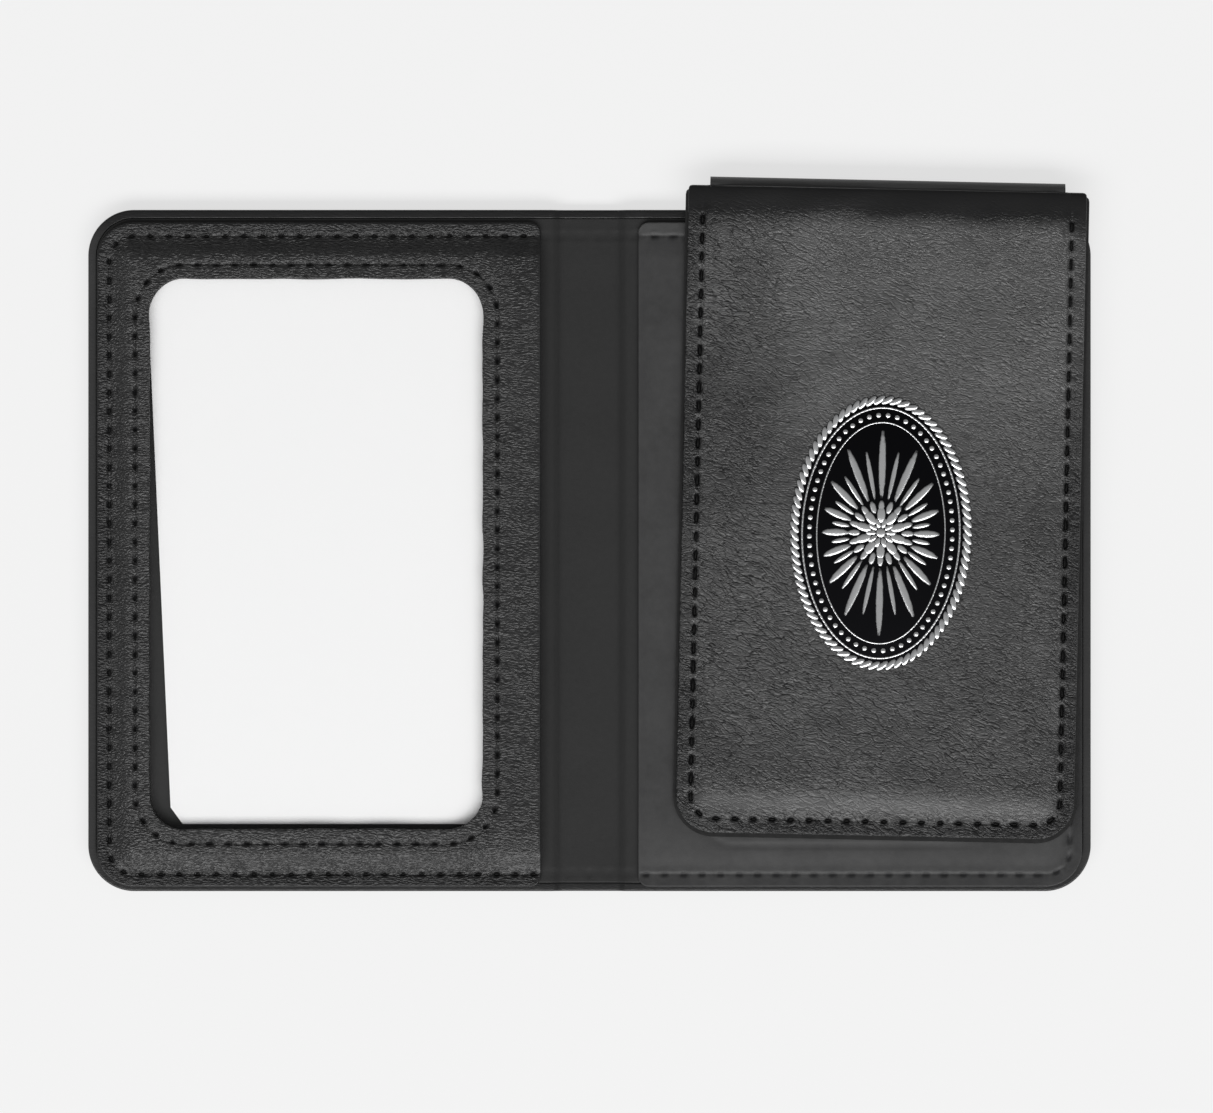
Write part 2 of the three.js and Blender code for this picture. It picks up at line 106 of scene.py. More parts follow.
@dataclass(frozen=True)
class Edge:
    """A rectangle with rounded corners, seen from above.

    The radii are those of the lower left, lower right, upper right and upper left corners.
    """

    left: float
    right: float
    bottom: float
    top: float
    radii: tuple[float, float, float, float]

    def depth(self, x: Array, y: Array) -> Array:
        """How far inside the edge each place lies.

        Args:
            x: The places across.
            y: The places up.

        Returns:
            The depths, which are below 0 outside it.
        """
        middle_x, middle_y = (self.left + self.right) / 2, (self.bottom + self.top) / 2
        lower = np.where(x < middle_x, self.radii[0], self.radii[1])
        upper = np.where(x < middle_x, self.radii[3], self.radii[2])
        radius = np.where(y < middle_y, lower, upper)
        out_x = np.abs(x - middle_x) - (self.right - self.left) / 2 + radius
        out_y = np.abs(y - middle_y) - (self.top - self.bottom) / 2 + radius
        outside = np.hypot(np.maximum(out_x, 0), np.maximum(out_y, 0))
        return radius - outside - np.minimum(np.maximum(out_x, out_y), 0)

    def arcs(self) -> list[tuple[float, float, int, int, float]]:
        """Takes the corners apart.

        Returns:
            The centre, the two outward signs and the radius of each corner, from the lower left on.
        """
        signs = ((-1, -1), (1, -1), (1, 1), (-1, 1))
        found = []
        for (sign_x, sign_y), radius in zip(signs, self.radii):
            corner_x = self.left if sign_x < 0 else self.right
            corner_y = self.bottom if sign_y < 0 else self.top
            found.append((corner_x - sign_x * radius, corner_y - sign_y * radius, sign_x, sign_y, radius))
        return found

    def line(self, inset: float, steps: int = 12) -> Array:
        """Draws a line that runs round inside the edge.

        Args:
            inset: How far inside the edge it runs.
            steps: How many steps each corner has.

        Returns:
            The points, from the lower left corner on.
        """
        points = []
        for turn, (x, y, _, _, radius) in enumerate(self.arcs()):
            start, reach = math.pi + turn * math.pi / 2, radius - inset
            for step in range(steps + 1):
                angle = start + math.pi / 2 * step / steps
                points.append((x + reach * math.cos(angle), y + reach * math.sin(angle)))
        return np.array(points)


# How much the lengths of the stitches vary, and how far they are turned by chance, in radians.
UNEVEN_STITCH = 0.09
STITCH_TILT = 0.06
THREAD_THICKNESS = 0.3
# How far the middle of a stitch arches above its ends.
ARCH_RISE = 0.3
# Places further than this from a seam aren't measured, and the others are taken so many at a time.
SEAM_REACH = 3.0
AT_ONCE = 4000
FAR_OFF = 99.0


@dataclass
class Seam:
    """A row of stitches along a line, and the leather that it draws in.

    Attributes:
        line: The corner points of the line.
        closed: Whether the line runs back to its start.
        shown: The length of thread that shows of each stitch.
        shown_across: The same where the line runs along X.
        pitch: From one stitch to the next.
        sunk: How far the thread's crown lies below the leather beside the seam.
        middles: The middle of each stitch.
        ways: The way that each stitch runs.
        lengths: The length of thread that shows of each stitch.
    """

    line: Array
    closed: bool = False
    shown: float = 0.9
    shown_across: float = 0.74
    pitch: float = 2.8
    sunk: float = 0.36
    middles: Array = field(init=False)
    ways: Array = field(init=False)
    lengths: Array = field(init=False)

    def __post_init__(self) -> None:
        """Sets the stitches out evenly."""
        line = np.vstack([self.line, self.line[:1]]) if self.closed else self.line
        walked = np.concatenate([[0], np.cumsum(np.hypot(*np.diff(line, axis=0).T))])
        count = round(walked[-1] / self.pitch)
        middles = (np.arange(count) + 0.5) * walked[-1] / count
        ends = [middles - self.shown / 2, middles, middles + self.shown / 2]
        behind, self.middles, ahead = (
            np.stack([np.interp(along, walked, line[:, axis]) for axis in (0, 1)], axis=1) for along in ends
        )
        self.ways = (ahead - behind) / np.linalg.norm(ahead - behind, axis=1, keepdims=True)
        flat = np.abs(self.ways[:, 0])
        uneven = np.random.default_rng(count).normal(1, UNEVEN_STITCH, count)
        self.lengths = (self.shown + (self.shown_across - self.shown) * flat) * uneven

    def nearest(self, x: Array, y: Array) -> tuple[Array, Array, Array]:
        """Measures places from their nearest stitches.

        Args:
            x: The places across.
            y: The places up.

        Returns:
            How far each place lies along and across its nearest stitch, and the length that shows of it.
        """
        along, across = np.full(x.shape, FAR_OFF), np.full(x.shape, FAR_OFF)
        shown = np.full(x.shape, self.shown)
        low, high = self.middles.min(axis=0) - SEAM_REACH, self.middles.max(axis=0) + SEAM_REACH
        near = np.flatnonzero((x > low[0]) & (x < high[0]) & (y > low[1]) & (y < high[1]))
        for part in np.array_split(near, max(1, len(near) // AT_ONCE)):
            off_x = x[part, None] - self.middles[:, 0]
            off_y = y[part, None] - self.middles[:, 1]
            closest = np.argmin(off_x**2 + off_y**2, axis=1)
            row = np.arange(len(part))
            way = self.ways[closest]
            along[part] = off_x[row, closest] * way[:, 0] + off_y[row, closest] * way[:, 1]
            across[part] = off_y[row, closest] * way[:, 0] - off_x[row, closest] * way[:, 1]
            shown[part] = self.lengths[closest]
        return along, across, shown

    def pits(self, x: Array, y: Array, reach: float = 0.24) -> tuple[Array, Array]:
        """Where the thread lies in the leather, and where the leather puckers between stitches.

        Args:
            x: The places across.
            y: The places up.
            reach: How far the thread's pits reach to its sides.

        Returns:
            Both as values from 0 to 1.
        """
        along, across, shown = self.nearest(x, y)
        held = 1 - smooth_step(np.abs(along), shown / 2 - 0.2, shown / 2 + reach)
        return held * bump(across, 0, reach), (1 - held) * bump(across, 0, 0.5) * self.reached(along)

    def reached(self, along: Array) -> Array:
        """1 along the seam, fading to 0 past its last stitch."""
        return 1 - smooth_step(np.abs(along), 0.5 * self.pitch, 0.8 * self.pitch)

    def draw_in(self, x: Array, y: Array, depth: float = 0.42) -> Array:
        """How far the thread pulls a surface down: its pits, the groove between them and its puckers.

        Args:
            x: The places across.
            y: The places up.
            depth: How deep the pits are.

        Returns:
            How far each place is pulled down.
        """
        along, across, shown = self.nearest(x, y)
        held = 1 - smooth_step(np.abs(along), shown / 2 - 0.2, shown / 2 + 0.25)
        pit = held * bump(across, 0, 0.25)
        groove = (1 - held) * 0.3 * bump(across, 0, 0.2) * self.reached(along)
        lips = bump(np.abs(across), 0.62, 0.25) * held
        waves = np.cos(2 * math.pi * along / self.pitch) * self.reached(along)
        puckers = waves * bump(np.abs(across), 0.6, 0.7)
        return depth * (pit + groove - 0.26 * lips + 0.17 * puckers)


class Undulation:
    """The slight unevenness of leather that has been glued down by hand."""

    def __init__(self, seed: int, height: float, longest: float, shortest: float, count: int = 28) -> None:
        """Draws the waves.

        Args:
            seed: Fixes the waves.
            height: About how high they stand together.
            longest: The longest wave.
            shortest: The shortest wave.
            count: How many waves there are.
        """
        draw = np.random.default_rng(seed)
        lengths = longest * (shortest / longest) ** draw.random(count)
        turns = draw.random(count) * 2 * math.pi
        self.across = 2 * math.pi * np.cos(turns) / lengths
        self.up = 2 * math.pi * np.sin(turns) / lengths
        self.starts = draw.random(count) * 2 * math.pi
        self.sizes = lengths / longest
        self.sizes *= height / np.sqrt((self.sizes**2).sum())

    def __call__(self, x: Array, y: Array) -> Array:
        """Adds the waves up.

        Args:
            x: The places across.
            y: The places up.

        Returns:
            How high the surface stands there.
        """
        total = np.zeros(np.shape(x))
        for across, up, start, size in zip(self.across, self.up, self.starts, self.sizes):
            total += size * np.cos(across * x + up * y + start)
        return total


# Meshes.

# How far the closest lattice lines lie beside an edge and a seam, and how close two may be.
CLOSE_STEPS = (0.0, 0.04, 0.1, 0.17, 0.26)
SEAM_STEPS = (-0.75, -0.6, -0.45, -0.3, -0.15, 0.0, 0.15, 0.3, 0.45, 0.6, 0.75)
CLOSEST = 0.03


def lattice_lines(stops: set[float], seams: set[float], pitch: float) -> Array:
    """Lattice lines between the outermost stops.

    Args:
        stops: Places that have a line, with close lines beside them.
        seams: Places of seams, with lines close enough together for their needle holes.
        pitch: The widest spacing elsewhere.

    Returns:
        The places of the lines, in rising order.
    """
    extra = {stop + way * step for stop in stops for way in (-1, 1) for step in CLOSE_STEPS[1:]}
    extra |= {seam + step for seam in seams for step in SEAM_STEPS}
    extra = {line for line in extra if min(abs(line - stop) for stop in stops) > CLOSEST}
    low, high = min(stops), max(stops)
    lines = [low]
    for line in sorted(stops | extra):
        if not low < line <= high or (line not in stops and line - lines[-1] < CLOSEST):
            continue
        cells = max(1, round((line - lines[-1]) / pitch))
        lines += list(np.linspace(lines[-1], line, cells + 1)[1:])
    return np.array(lines)


def lattice(xs: Array, ys: Array) -> BMesh:
    """Makes a flat grid with uneven lines.

    Args:
        xs: The places of the lines across.
        ys: The places of the lines up.

    Returns:
        The grid.
    """
    grid = bmesh.new()
    bmesh.ops.create_grid(grid, x_segments=len(xs) - 1, y_segments=len(ys) - 1, size=1)
    for vertex in grid.verts:
        column = round((vertex.co.x + 1) / 2 * (len(xs) - 1))
        row = round((vertex.co.y + 1) / 2 * (len(ys) - 1))
        vertex.co = (xs[column], ys[row], 0)
    return grid


def round_off(x: Array, y: Array, edge: Edge, kept: float, until: float) -> None:
    """Draws the square rings at an edge's corners onto arcs.

    Args:
        x: The places across, which are changed.
        y: The places up, which are changed.
        edge: The rounded edge.
        kept: How far outside the edge the rings are full arcs.
        until: How far outside the edge the rings are square again.
    """
    for centre_x, centre_y, sign_x, sign_y, radius in edge.arcs():
        if radius <= 0:
            continue
        p, q = (x - centre_x) * sign_x, (y - centre_y) * sign_y
        ring = np.maximum(p, q)
        here = (p > 0) & (q > 0) & (ring < radius + until)
        angle = math.pi / 4 * np.minimum(p, q) / np.where(here, ring, 1)
        long, short = ring * np.cos(angle), ring * np.sin(angle)
        share = 1 - smooth_step(ring, radius + kept, radius + until)
        x[here] += (sign_x * share * (np.where(p >= q, long, short) - p))[here]
        y[here] += (sign_y * share * (np.where(p >= q, short, long) - q))[here]


def finished(
    name: str,
    shape: BMesh,
    finishes: list[Material],
    place: Matrix | None = None,
    crease: float = 38,
) -> Object:
    """Turns a bmesh in millimetres into an object at the origin, in metres.

    Args:
        name: The object's name.
        shape: The bmesh, which is used up.
        finishes: One material for each material index.
        place: Where the mesh goes, in millimetres.
        crease: Edges sharper than this many degrees stay sharp.

    Returns:
        The object, whose mesh keeps its own rest places for the materials.
    """
    mesh = bpy.data.meshes.new(name)
    shape.to_mesh(mesh)
    shape.free()
    if place is not None:
        mesh.transform(place)
    mesh.transform(Matrix.Scale(MM, 4))
    mesh.polygons.foreach_set("use_smooth", np.ones(len(mesh.polygons), bool))
    mesh.set_sharp_from_angle(angle=math.radians(crease))
    places = np.empty(3 * len(mesh.vertices), np.float32)
    mesh.vertices.foreach_get("co", places)
    mesh.attributes.new(REST, "FLOAT_VECTOR", "POINT").data.foreach_set("vector", places)
    for finish in finishes:
        mesh.materials.append(finish)
    piece = bpy.data.objects.new(name, mesh)
    bpy.context.scene.collection.objects.link(piece)
    log.info("%s: %d faces", name, len(mesh.polygons))
    return piece


def usual_wear(x: Array, y: Array) -> tuple[Array, Array]:
    """Leather with its full grain and a little rubbing all over."""
    return np.ones(x.shape), np.full(x.shape, 0.5)


@dataclass
class Sheet:
    """A sheet of leather: its outline, its opening, and the heights of its two faces.

    Attributes:
        edge: The outline.
        top: The heights of the upper face.
        under: The heights of the lower face.
        pitch: The spacing of the mesh.
        seam_inset: How far a seam lies inside the outline.
        hole: An opening through the sheet.
        hole_seam: How far a seam lies outside the opening.
        stray: How the knife strayed as it cut the opening.
        stops_x: More lattice lines across.
        stops_y: More lattice lines up.
        painted: How far in from the outline the edge paint reaches.
        wear_and_light: How full the grain is, how rubbed the leather, and how much light and shade is
            painted on it, at each place.
    """

    edge: Edge
    top: Heights
    under: Heights
    pitch: float = 0.4
    seam_inset: float | None = None
    hole: Edge | None = None
    hole_seam: float = 0.0
    stray: Heights | None = None
    stops_x: tuple[float, ...] = ()
    stops_y: tuple[float, ...] = ()
    painted: float = 0.0
    wear_and_light: WearAndLight = usual_wear

    def lines(self) -> tuple[Array, Array]:
        """Sets out the lattice lines.

        Returns:
            Their places across and up.
        """
        edge, hole = self.edge, self.hole
        stops_x, stops_y = {edge.left, edge.right, *self.stops_x}, {edge.bottom, edge.top, *self.stops_y}
        seams_x, seams_y = set(), set()
        if self.seam_inset:
            seams_x = {edge.left + self.seam_inset, edge.right - self.seam_inset}
            seams_y = {edge.bottom + self.seam_inset, edge.top - self.seam_inset}
        if hole:
            stops_x |= {hole.left, hole.right}
            stops_y |= {hole.bottom, hole.top}
            seams_x |= {hole.left - self.hole_seam, hole.right + self.hole_seam}
            seams_y |= {hole.bottom - self.hole_seam, hole.top + self.hole_seam}
        return lattice_lines(stops_x, seams_x, self.pitch), lattice_lines(stops_y, seams_y, self.pitch)

    def cut_hole(self, grid: BMesh) -> None:
        """Takes the faces of the opening out of the lattice.

        Args:
            grid: The lattice.
        """
        hole = self.hole
        inside = []
        for face in grid.faces:
            middle = face.calc_center_median()
            if hole.left < middle.x < hole.right and hole.bottom < middle.y < hole.top:
                inside.append(face)
        bmesh.ops.delete(grid, geom=inside, context="FACES")

    def shape(self) -> BMesh:
        """Makes the sheet.

        Returns:
            The mesh, whose cut edges and painted margin have material index 1.
        """
        grid = lattice(*self.lines())
        if self.hole:
            self.cut_hole(grid)
        bmesh.ops.solidify(grid, geom=grid.faces[:], thickness=1)
        grid.normal_update()
        for face in grid.faces:
            face.material_index = int(abs(face.normal.z) < 0.5)
        places = np.array([vertex.co for vertex in grid.verts])
        x, y, z = places[:, 0].copy(), places[:, 1].copy(), places[:, 2]
        upper = z > (z.min() + z.max()) / 2
        if self.hole:
            round_off(x, y, self.hole, self.hole_seam + 0.5, self.hole_seam + 3.2)
        round_off(x, y, self.edge, 0.1, 0.2)
        heights = np.where(upper, self.top(x, y), self.under(x, y))
        grains, rubs_and_light = self.wear_and_light(x, y)
        if self.stray:
            strayed = self.stray(x, y) * bump(self.hole.depth(x, y), 0, 0.8)
            x, y = x + strayed, y + strayed
        grain, rub_and_light = (grid.verts.layers.float.new(name) for name in (GRAIN, RUB_AND_LIGHT))
        for vertex, spot, full, rubbed in zip(grid.verts, np.stack([x, y, heights], axis=1), grains, rubs_and_light):
            vertex.co = spot
            vertex[grain] = full
            vertex[rub_and_light] = rubbed
        if self.painted:
            for face in grid.faces:
                x, y, _ = (np.array(part) for part in face.calc_center_median())
                if self.edge.depth(x, y) < self.painted:
                    face.material_index = 1
        bmesh.ops.recalc_face_normals(grid, faces=grid.faces[:])
        return grid


class Stamp:
    """A small shape that is laid many times over."""

    def __init__(self, shape: BMesh) -> None:
        """Keeps the shape.

        Args:
            shape: The shape, which is used up.
        """
        self.mesh = bpy.data.meshes.new("stamp")
        shape.to_mesh(self.mesh)
        shape.free()

    def lay(self, into: BMesh, place: Matrix) -> None:
        """Adds a copy of the shape.

        Args:
            into: The mesh that gets the copy.
            place: Where it goes.
        """
        copy = self.mesh.copy()
        copy.transform(place)
        into.from_mesh(copy)
        bpy.data.meshes.remove(copy)

    def put_away(self) -> None:
        """Removes the kept shape."""
        bpy.data.meshes.remove(self.mesh)


def stitch(shown: float) -> BMesh:
    """Makes a stitch along X: a thread that arches out of one needle hole and into the next.

    Args:
        shown: The length of thread that shows.

    Returns:
        The stitch, with its ends in the needle holes.
    """
    arch = bmesh.new()
    half = shown / 2
    radius = (half**2 + ARCH_RISE**2) / (2 * ARCH_RISE)
    turn = math.asin(half / radius)
    ring = bmesh.ops.create_circle(arch, cap_ends=False, segments=8, radius=THREAD_THICKNESS / 2)["verts"]
    bmesh.ops.rotate(arch, cent=(0, 0, 0), matrix=Matrix.Rotation(math.pi / 2, 3, "Y"), verts=ring)
    bmesh.ops.rotate(arch, cent=(0, 0, -radius), matrix=Matrix.Rotation(-turn, 3, "Y"), verts=ring)
    bmesh.ops.spin(
        arch,
        geom=arch.edges[:],
        cent=(0, 0, -radius),
        axis=(0, 1, 0),
        angle=2 * turn,
        steps=6,
        use_merge=False,
    )
    bmesh.ops.holes_fill(arch, edges=[edge for edge in arch.edges if edge.is_boundary], sides=8)
    bmesh.ops.recalc_face_normals(arch, faces=arch.faces[:])
    return arch


def stitches(rows: list[tuple[Seam, Heights, int]], half: int = 0) -> BMesh:
    """Lays stitches along seams.

    Args:
        rows: Each seam with the heights of its thread's crown, and 1 where it shows above or -1 below.
        half: 1 or -1 to lay only the stitches on that side of the spine's middle, or 0 for all.

    Returns:
        All the stitches in one bmesh.
    """
    laid = bmesh.new()
    draw = np.random.default_rng(7)
    for seam, level, side in rows:
        single = Stamp(stitch(seam.shown))
        ends = [seam.middles + sign * seam.lengths[:, None] / 2 * seam.ways for sign in (-1, 1)]
        heights = [level(end[:, 0], end[:, 1]) for end in ends]
        tilts = draw.normal(0, STITCH_TILT, len(seam.middles))
        each = zip(seam.middles, seam.ways, seam.lengths, *heights, tilts)
        for middle, way, length, low, high, tilt in each:
            if half and middle[0] * half <= 0:
                continue
            rise = math.atan2(high - low, length)
            place = (
                Matrix.Translation((middle[0], middle[1], (low + high) / 2 - THREAD_THICKNESS / 2 * side))
                @ Matrix.Rotation(math.atan2(way[1], way[0]) + tilt, 4, "Z")
                @ Matrix.Rotation(-rise, 4, "Y")
                @ Matrix.Diagonal((length / seam.shown, 1, side, 1))
            )
            single.lay(laid, place)
        single.put_away()
    bmesh.ops.recalc_face_normals(laid, faces=laid.faces[:])
    return laid


# Finishes.

# The refractive index of paints, plastics and paper.
PRINCIPLED_IOR = 1.5
# How rough the finer layers of a noise are.
PATCHY = 0.58
# How far the grain sways to either side, and how deep its pores are, in millimetres.
GRAIN_SWAY = 2.4
PORE_DEPTH = 0.012
# How dull leather is at its usual rubbing.
DULLNESS = 0.16
USUAL_RUB = 0.3


def linear(colour: str) -> tuple[float, float, float, float]:
    """An sRGB hex colour as linear light.

    Args:
        colour: The colour, as #rrggbb.

    Returns:
        Its red, green, blue and alpha.
    """
    parts = [int(colour[i : i + 2], 16) / 255 for i in (1, 3, 5)]
    curve = [part / 12.92 if part <= 0.04045 else ((part + 0.055) / 1.055) ** 2.4 for part in parts]
    return curve[0], curve[1], curve[2], 1.0


def add_node(
    tree: NodeTree,
    kind: str,
    inputs: dict[str | int, object] | tuple[object, ...],
    result: str | int = 0,
    **settings: object,
) -> NodeSocket:
    """Adds a node with its settings and links.

    Args:
        tree: The node tree.
        kind: The node's type, without the word that all the types start with.
        inputs: A value or a socket for each input, by its name or number, or for the first ones in order.
        result: The output that is wanted.
        settings: The node's own settings.

    Returns:
        The wanted output.
    """
    node = tree.nodes.new(f"ShaderNode{kind}")
    for name, value in settings.items():
        setattr(node, name, value)
    for name, value in inputs.items() if isinstance(inputs, dict) else enumerate(inputs):
        if isinstance(value, NodeSocket):
            tree.links.new(value, node.inputs[name])
        else:
            node.inputs[name].default_value = value
    return node.outputs[result]


def blank_material(name: str) -> tuple[Material, NodeTree, NodeSocket]:
    """A material with only its output node.

    Args:
        name: The material's name.

    Returns:
        The material, its node tree, and the socket that takes its surface.
    """
    material = bpy.data.materials.new(name)
    material.use_nodes = True
    tree = material.node_tree
    tree.nodes.clear()
    return material, tree, tree.nodes.new("ShaderNodeOutputMaterial").inputs["Surface"]


def wide(width: float) -> float:
    """The texture scale at which a patch is so many millimetres wide."""
    return 1 / (width * MM)


class Grain(Enum):
    """How the surface of a leather was worked."""

    PEBBLED = "embossed with small pebbles"
    CREASED = "milled until it creased"
    SATIN = "left smooth"


@dataclass(frozen=True)
class CreaseSet:
    """Creases that run much the same way.

    Attributes:
        turn: How far their way is turned from the grain's, in degrees.
        size: How much larger than a cell of the grain the folds between them are.
        width: How wide they are, as a share of the folds' height.
        patch: The width of the patches that have them, in millimetres.
    """

    turn: float
    size: float
    width: float
    patch: float


CREASE_SETS = (CreaseSet(-8, 2.6, 0.08, 11), CreaseSet(10, 1.5, 0.08, 7), CreaseSet(-16, 5.0, 0.045, 16))


@dataclass(frozen=True)
class Leather:
    """Coated split leather, pigmented black.

    Attributes:
        name: The material's name.
        grain: How the surface was worked.
        fresh: The colour where nothing has rubbed it, and where shade is painted on.
        rubbed: The colour where it is rubbed, and where light is painted on.
        roughness: The roughness of the most and the least polished places.
        specular: How strongly the coat reflects.
        cell: The width and height of a pebble or crease, in millimetres.
        turn: The way that the creases run, in degrees.
        relief: How high the grain stands, in millimetres.
        buffing: How much rubbing polishes.
    """

    name: str
    grain: Grain
    fresh: str
    rubbed: str
    roughness: tuple[float, float]
    specular: float
    cell: tuple[float, float]
    turn: float
    relief: float
    buffing: float = 0.8

    def material(self) -> Material:
        """The finish, which reads where each place of the sheet lay at rest.

        Returns:
            The material.
        """
        material, tree, surface = blank_material(self.name)
        rest = add_node(tree, "Attribute", {}, "Vector", attribute_name=REST)
        full = add_node(tree, "Attribute", {}, "Fac", attribute_name=GRAIN)
        rub_and_light = add_node(tree, "Attribute", {}, "Fac", attribute_name=RUB_AND_LIGHT)
        height = add_node(tree, "Math", (self.surface(tree, rest), full), operation="MULTIPLY")
        patches = {"Vector": rest, "Scale": wide(9), "Detail": 3.0, "Roughness": PATCHY}
        broad = add_node(tree, "TexNoise", patches)
        # Pores are a tenth of a millimetre wide. They are drawn at twice that, to show from above.
        pores = {"Vector": rest, "Scale": wide(0.2), "Detail": 2.0, "Roughness": PATCHY}
        fine = add_node(tree, "TexNoise", pores)
        # The tips of the grain are painted lighter and its valleys darker, partly as rubbing and partly as a
        # painted highlight and painted shade of the relief. The rubbing attribute also brings the light and
        # shade painted on each piece.
        exposed_and_lit = add_node(tree, "Math", (rub_and_light, 0.25), operation="SUBTRACT")
        tips = add_node(tree, "Math", (height, 0.5, exposed_and_lit), operation="MULTIPLY_ADD")
        mottled = add_node(tree, "Math", (broad, 0.5), operation="SUBTRACT")
        worn_and_lit = add_node(tree, "Math", (mottled, 0.4, tips), operation="MULTIPLY_ADD")
        shades = {0: worn_and_lit, 6: linear(self.fresh), 7: linear(self.rubbed)}
        # Rubbing also polishes.
        dull = add_node(tree, "Math", (broad, 0.6), operation="MULTIPLY")
        dull = add_node(tree, "Math", (fine, 0.4, dull), operation="MULTIPLY_ADD")
        unrubbed = (rub_and_light, -self.buffing, DULLNESS + USUAL_RUB * self.buffing)
        unrubbed = add_node(tree, "Math", unrubbed, operation="MULTIPLY_ADD")
        dull = add_node(tree, "Math", (dull, unrubbed), operation="ADD")
        grain = add_node(tree, "Bump", {"Height": height, "Distance": self.relief * MM, "Strength": 1.0})
        pitted = {"Height": fine, "Distance": PORE_DEPTH * MM, "Strength": 1.0, "Normal": grain}
        low, high = self.roughness
        shader = add_node(
            tree,
            "BsdfPrincipled",
            {
                "Base Color": add_node(tree, "Mix", shades, 2, data_type="RGBA"),
                "Roughness": add_node(tree, "MapRange", {"Value": dull, "To Min": low, "To Max": high}),
                "IOR": PRINCIPLED_IOR,
                "Specular IOR Level": self.specular,
                "Normal": add_node(tree, "Bump", pitted),
            },
        )
        tree.links.new(shader, surface)
        return material

    def laid(self, tree: NodeTree, rest: NodeSocket, turn: float, size: float) -> NodeSocket:
        """Places counted in cells along and across the grain, which runs a little irregularly.

        Args:
            tree: The node tree.
            rest: The places of the sheet.
            turn: The way that the grain runs, in degrees.
            size: How much larger than usual the cells are.

        Returns:
            The places.
        """
        drift = {"Vector": rest, "Scale": wide(7), "Detail": 3.0, "Roughness": PATCHY}
        drift = add_node(tree, "TexNoise", drift, "Color")
        sway = (drift, (GRAIN_SWAY * MM, GRAIN_SWAY * MM, 0), rest)
        swayed = add_node(tree, "VectorMath", sway, "Vector", operation="MULTIPLY_ADD")
        across, up = (length * MM * size for length in self.cell)
        cells = {"Vector": swayed, "Rotation": (0, 0, math.radians(turn)), "Scale": (across, up, up)}
        return add_node(tree, "Mapping", cells, vector_type="TEXTURE")

    def surface(self, tree: NodeTree, rest: NodeSocket) -> NodeSocket:
        """The grain's height.

        Args:
            tree: The node tree.
            rest: The places of the sheet.

        Returns:
            The height, from 0 to about 1.
        """
        if self.grain is Grain.SATIN:
            soft = {"Vector": rest, "Scale": wide(self.cell[0]), "Detail": 4.0, "Roughness": PATCHY}
            return add_node(tree, "TexNoise", soft)
        laid = self.laid(tree, rest, self.turn, 1.0)
        waves = add_node(tree, "TexNoise", {"Vector": laid, "Scale": 1.0, "Detail": 0.6, "Roughness": 0.5})
        rolls = add_node(tree, "MapRange", {"Value": waves, "From Min": 0.3, "From Max": 0.7})
        cells = {"Vector": self.laid(tree, rest, self.turn + 9, 1.1), "Scale": 1.0}
        borders = add_node(tree, "TexVoronoi", cells, "Distance", feature="DISTANCE_TO_EDGE")
        domes = {"Value": borders, "From Min": 0.0, "From Max": 0.34}
        domes = add_node(tree, "MapRange", domes, interpolation_type="SMOOTHSTEP")
        rolls = add_node(tree, "Math", (rolls, 0.55), operation="MULTIPLY")
        height = add_node(tree, "Math", (domes, 0.45, rolls), operation="MULTIPLY_ADD")
        if self.grain is Grain.CREASED:
            height = add_node(tree, "Math", (height, 0.34), operation="MULTIPLY")
            for creases in CREASE_SETS:
                cracked = self.cracked(tree, rest, creases)
                height = add_node(tree, "Math", (height, cracked), operation="ADD")
        return height

    def cracked(self, tree: NodeTree, rest: NodeSocket, creases: CreaseSet) -> NodeSocket:
        """The height between the creases of one set, which lie where folds cross their own middle height.

        Args:
            tree: The node tree.
            rest: The places of the sheet.
            creases: The set.

        Returns:
            The height, from 0 in a crease.
        """
        laid = self.laid(tree, rest, self.turn + creases.turn, creases.size)
        folds = add_node(tree, "TexNoise", {"Vector": laid, "Scale": 1.0, "Detail": 1.0, "Roughness": 0.5})
        folds = add_node(tree, "Math", (folds, 0.5), operation="SUBTRACT")
        crossing = add_node(tree, "Math", (folds,), operation="ABSOLUTE")
        lips = {"Value": crossing, "From Min": 0.0, "From Max": creases.width}
        lips = add_node(tree, "MapRange", lips, interpolation_type="SMOOTHSTEP")
        lips = add_node(tree, "Math", (lips, 0.55), operation="MULTIPLY")
        patches = {"Vector": rest, "Scale": wide(creases.patch), "Detail": 2.0, "Roughness": PATCHY}
        patches = add_node(tree, "TexNoise", patches)
        patches = add_node(tree, "MapRange", {"Value": patches, "To Min": -0.8, "To Max": 2.2})
        patches = add_node(tree, "Math", (patches, 0.0), operation="MAXIMUM")
        return add_node(tree, "Math", (lips, patches), operation="MULTIPLY")


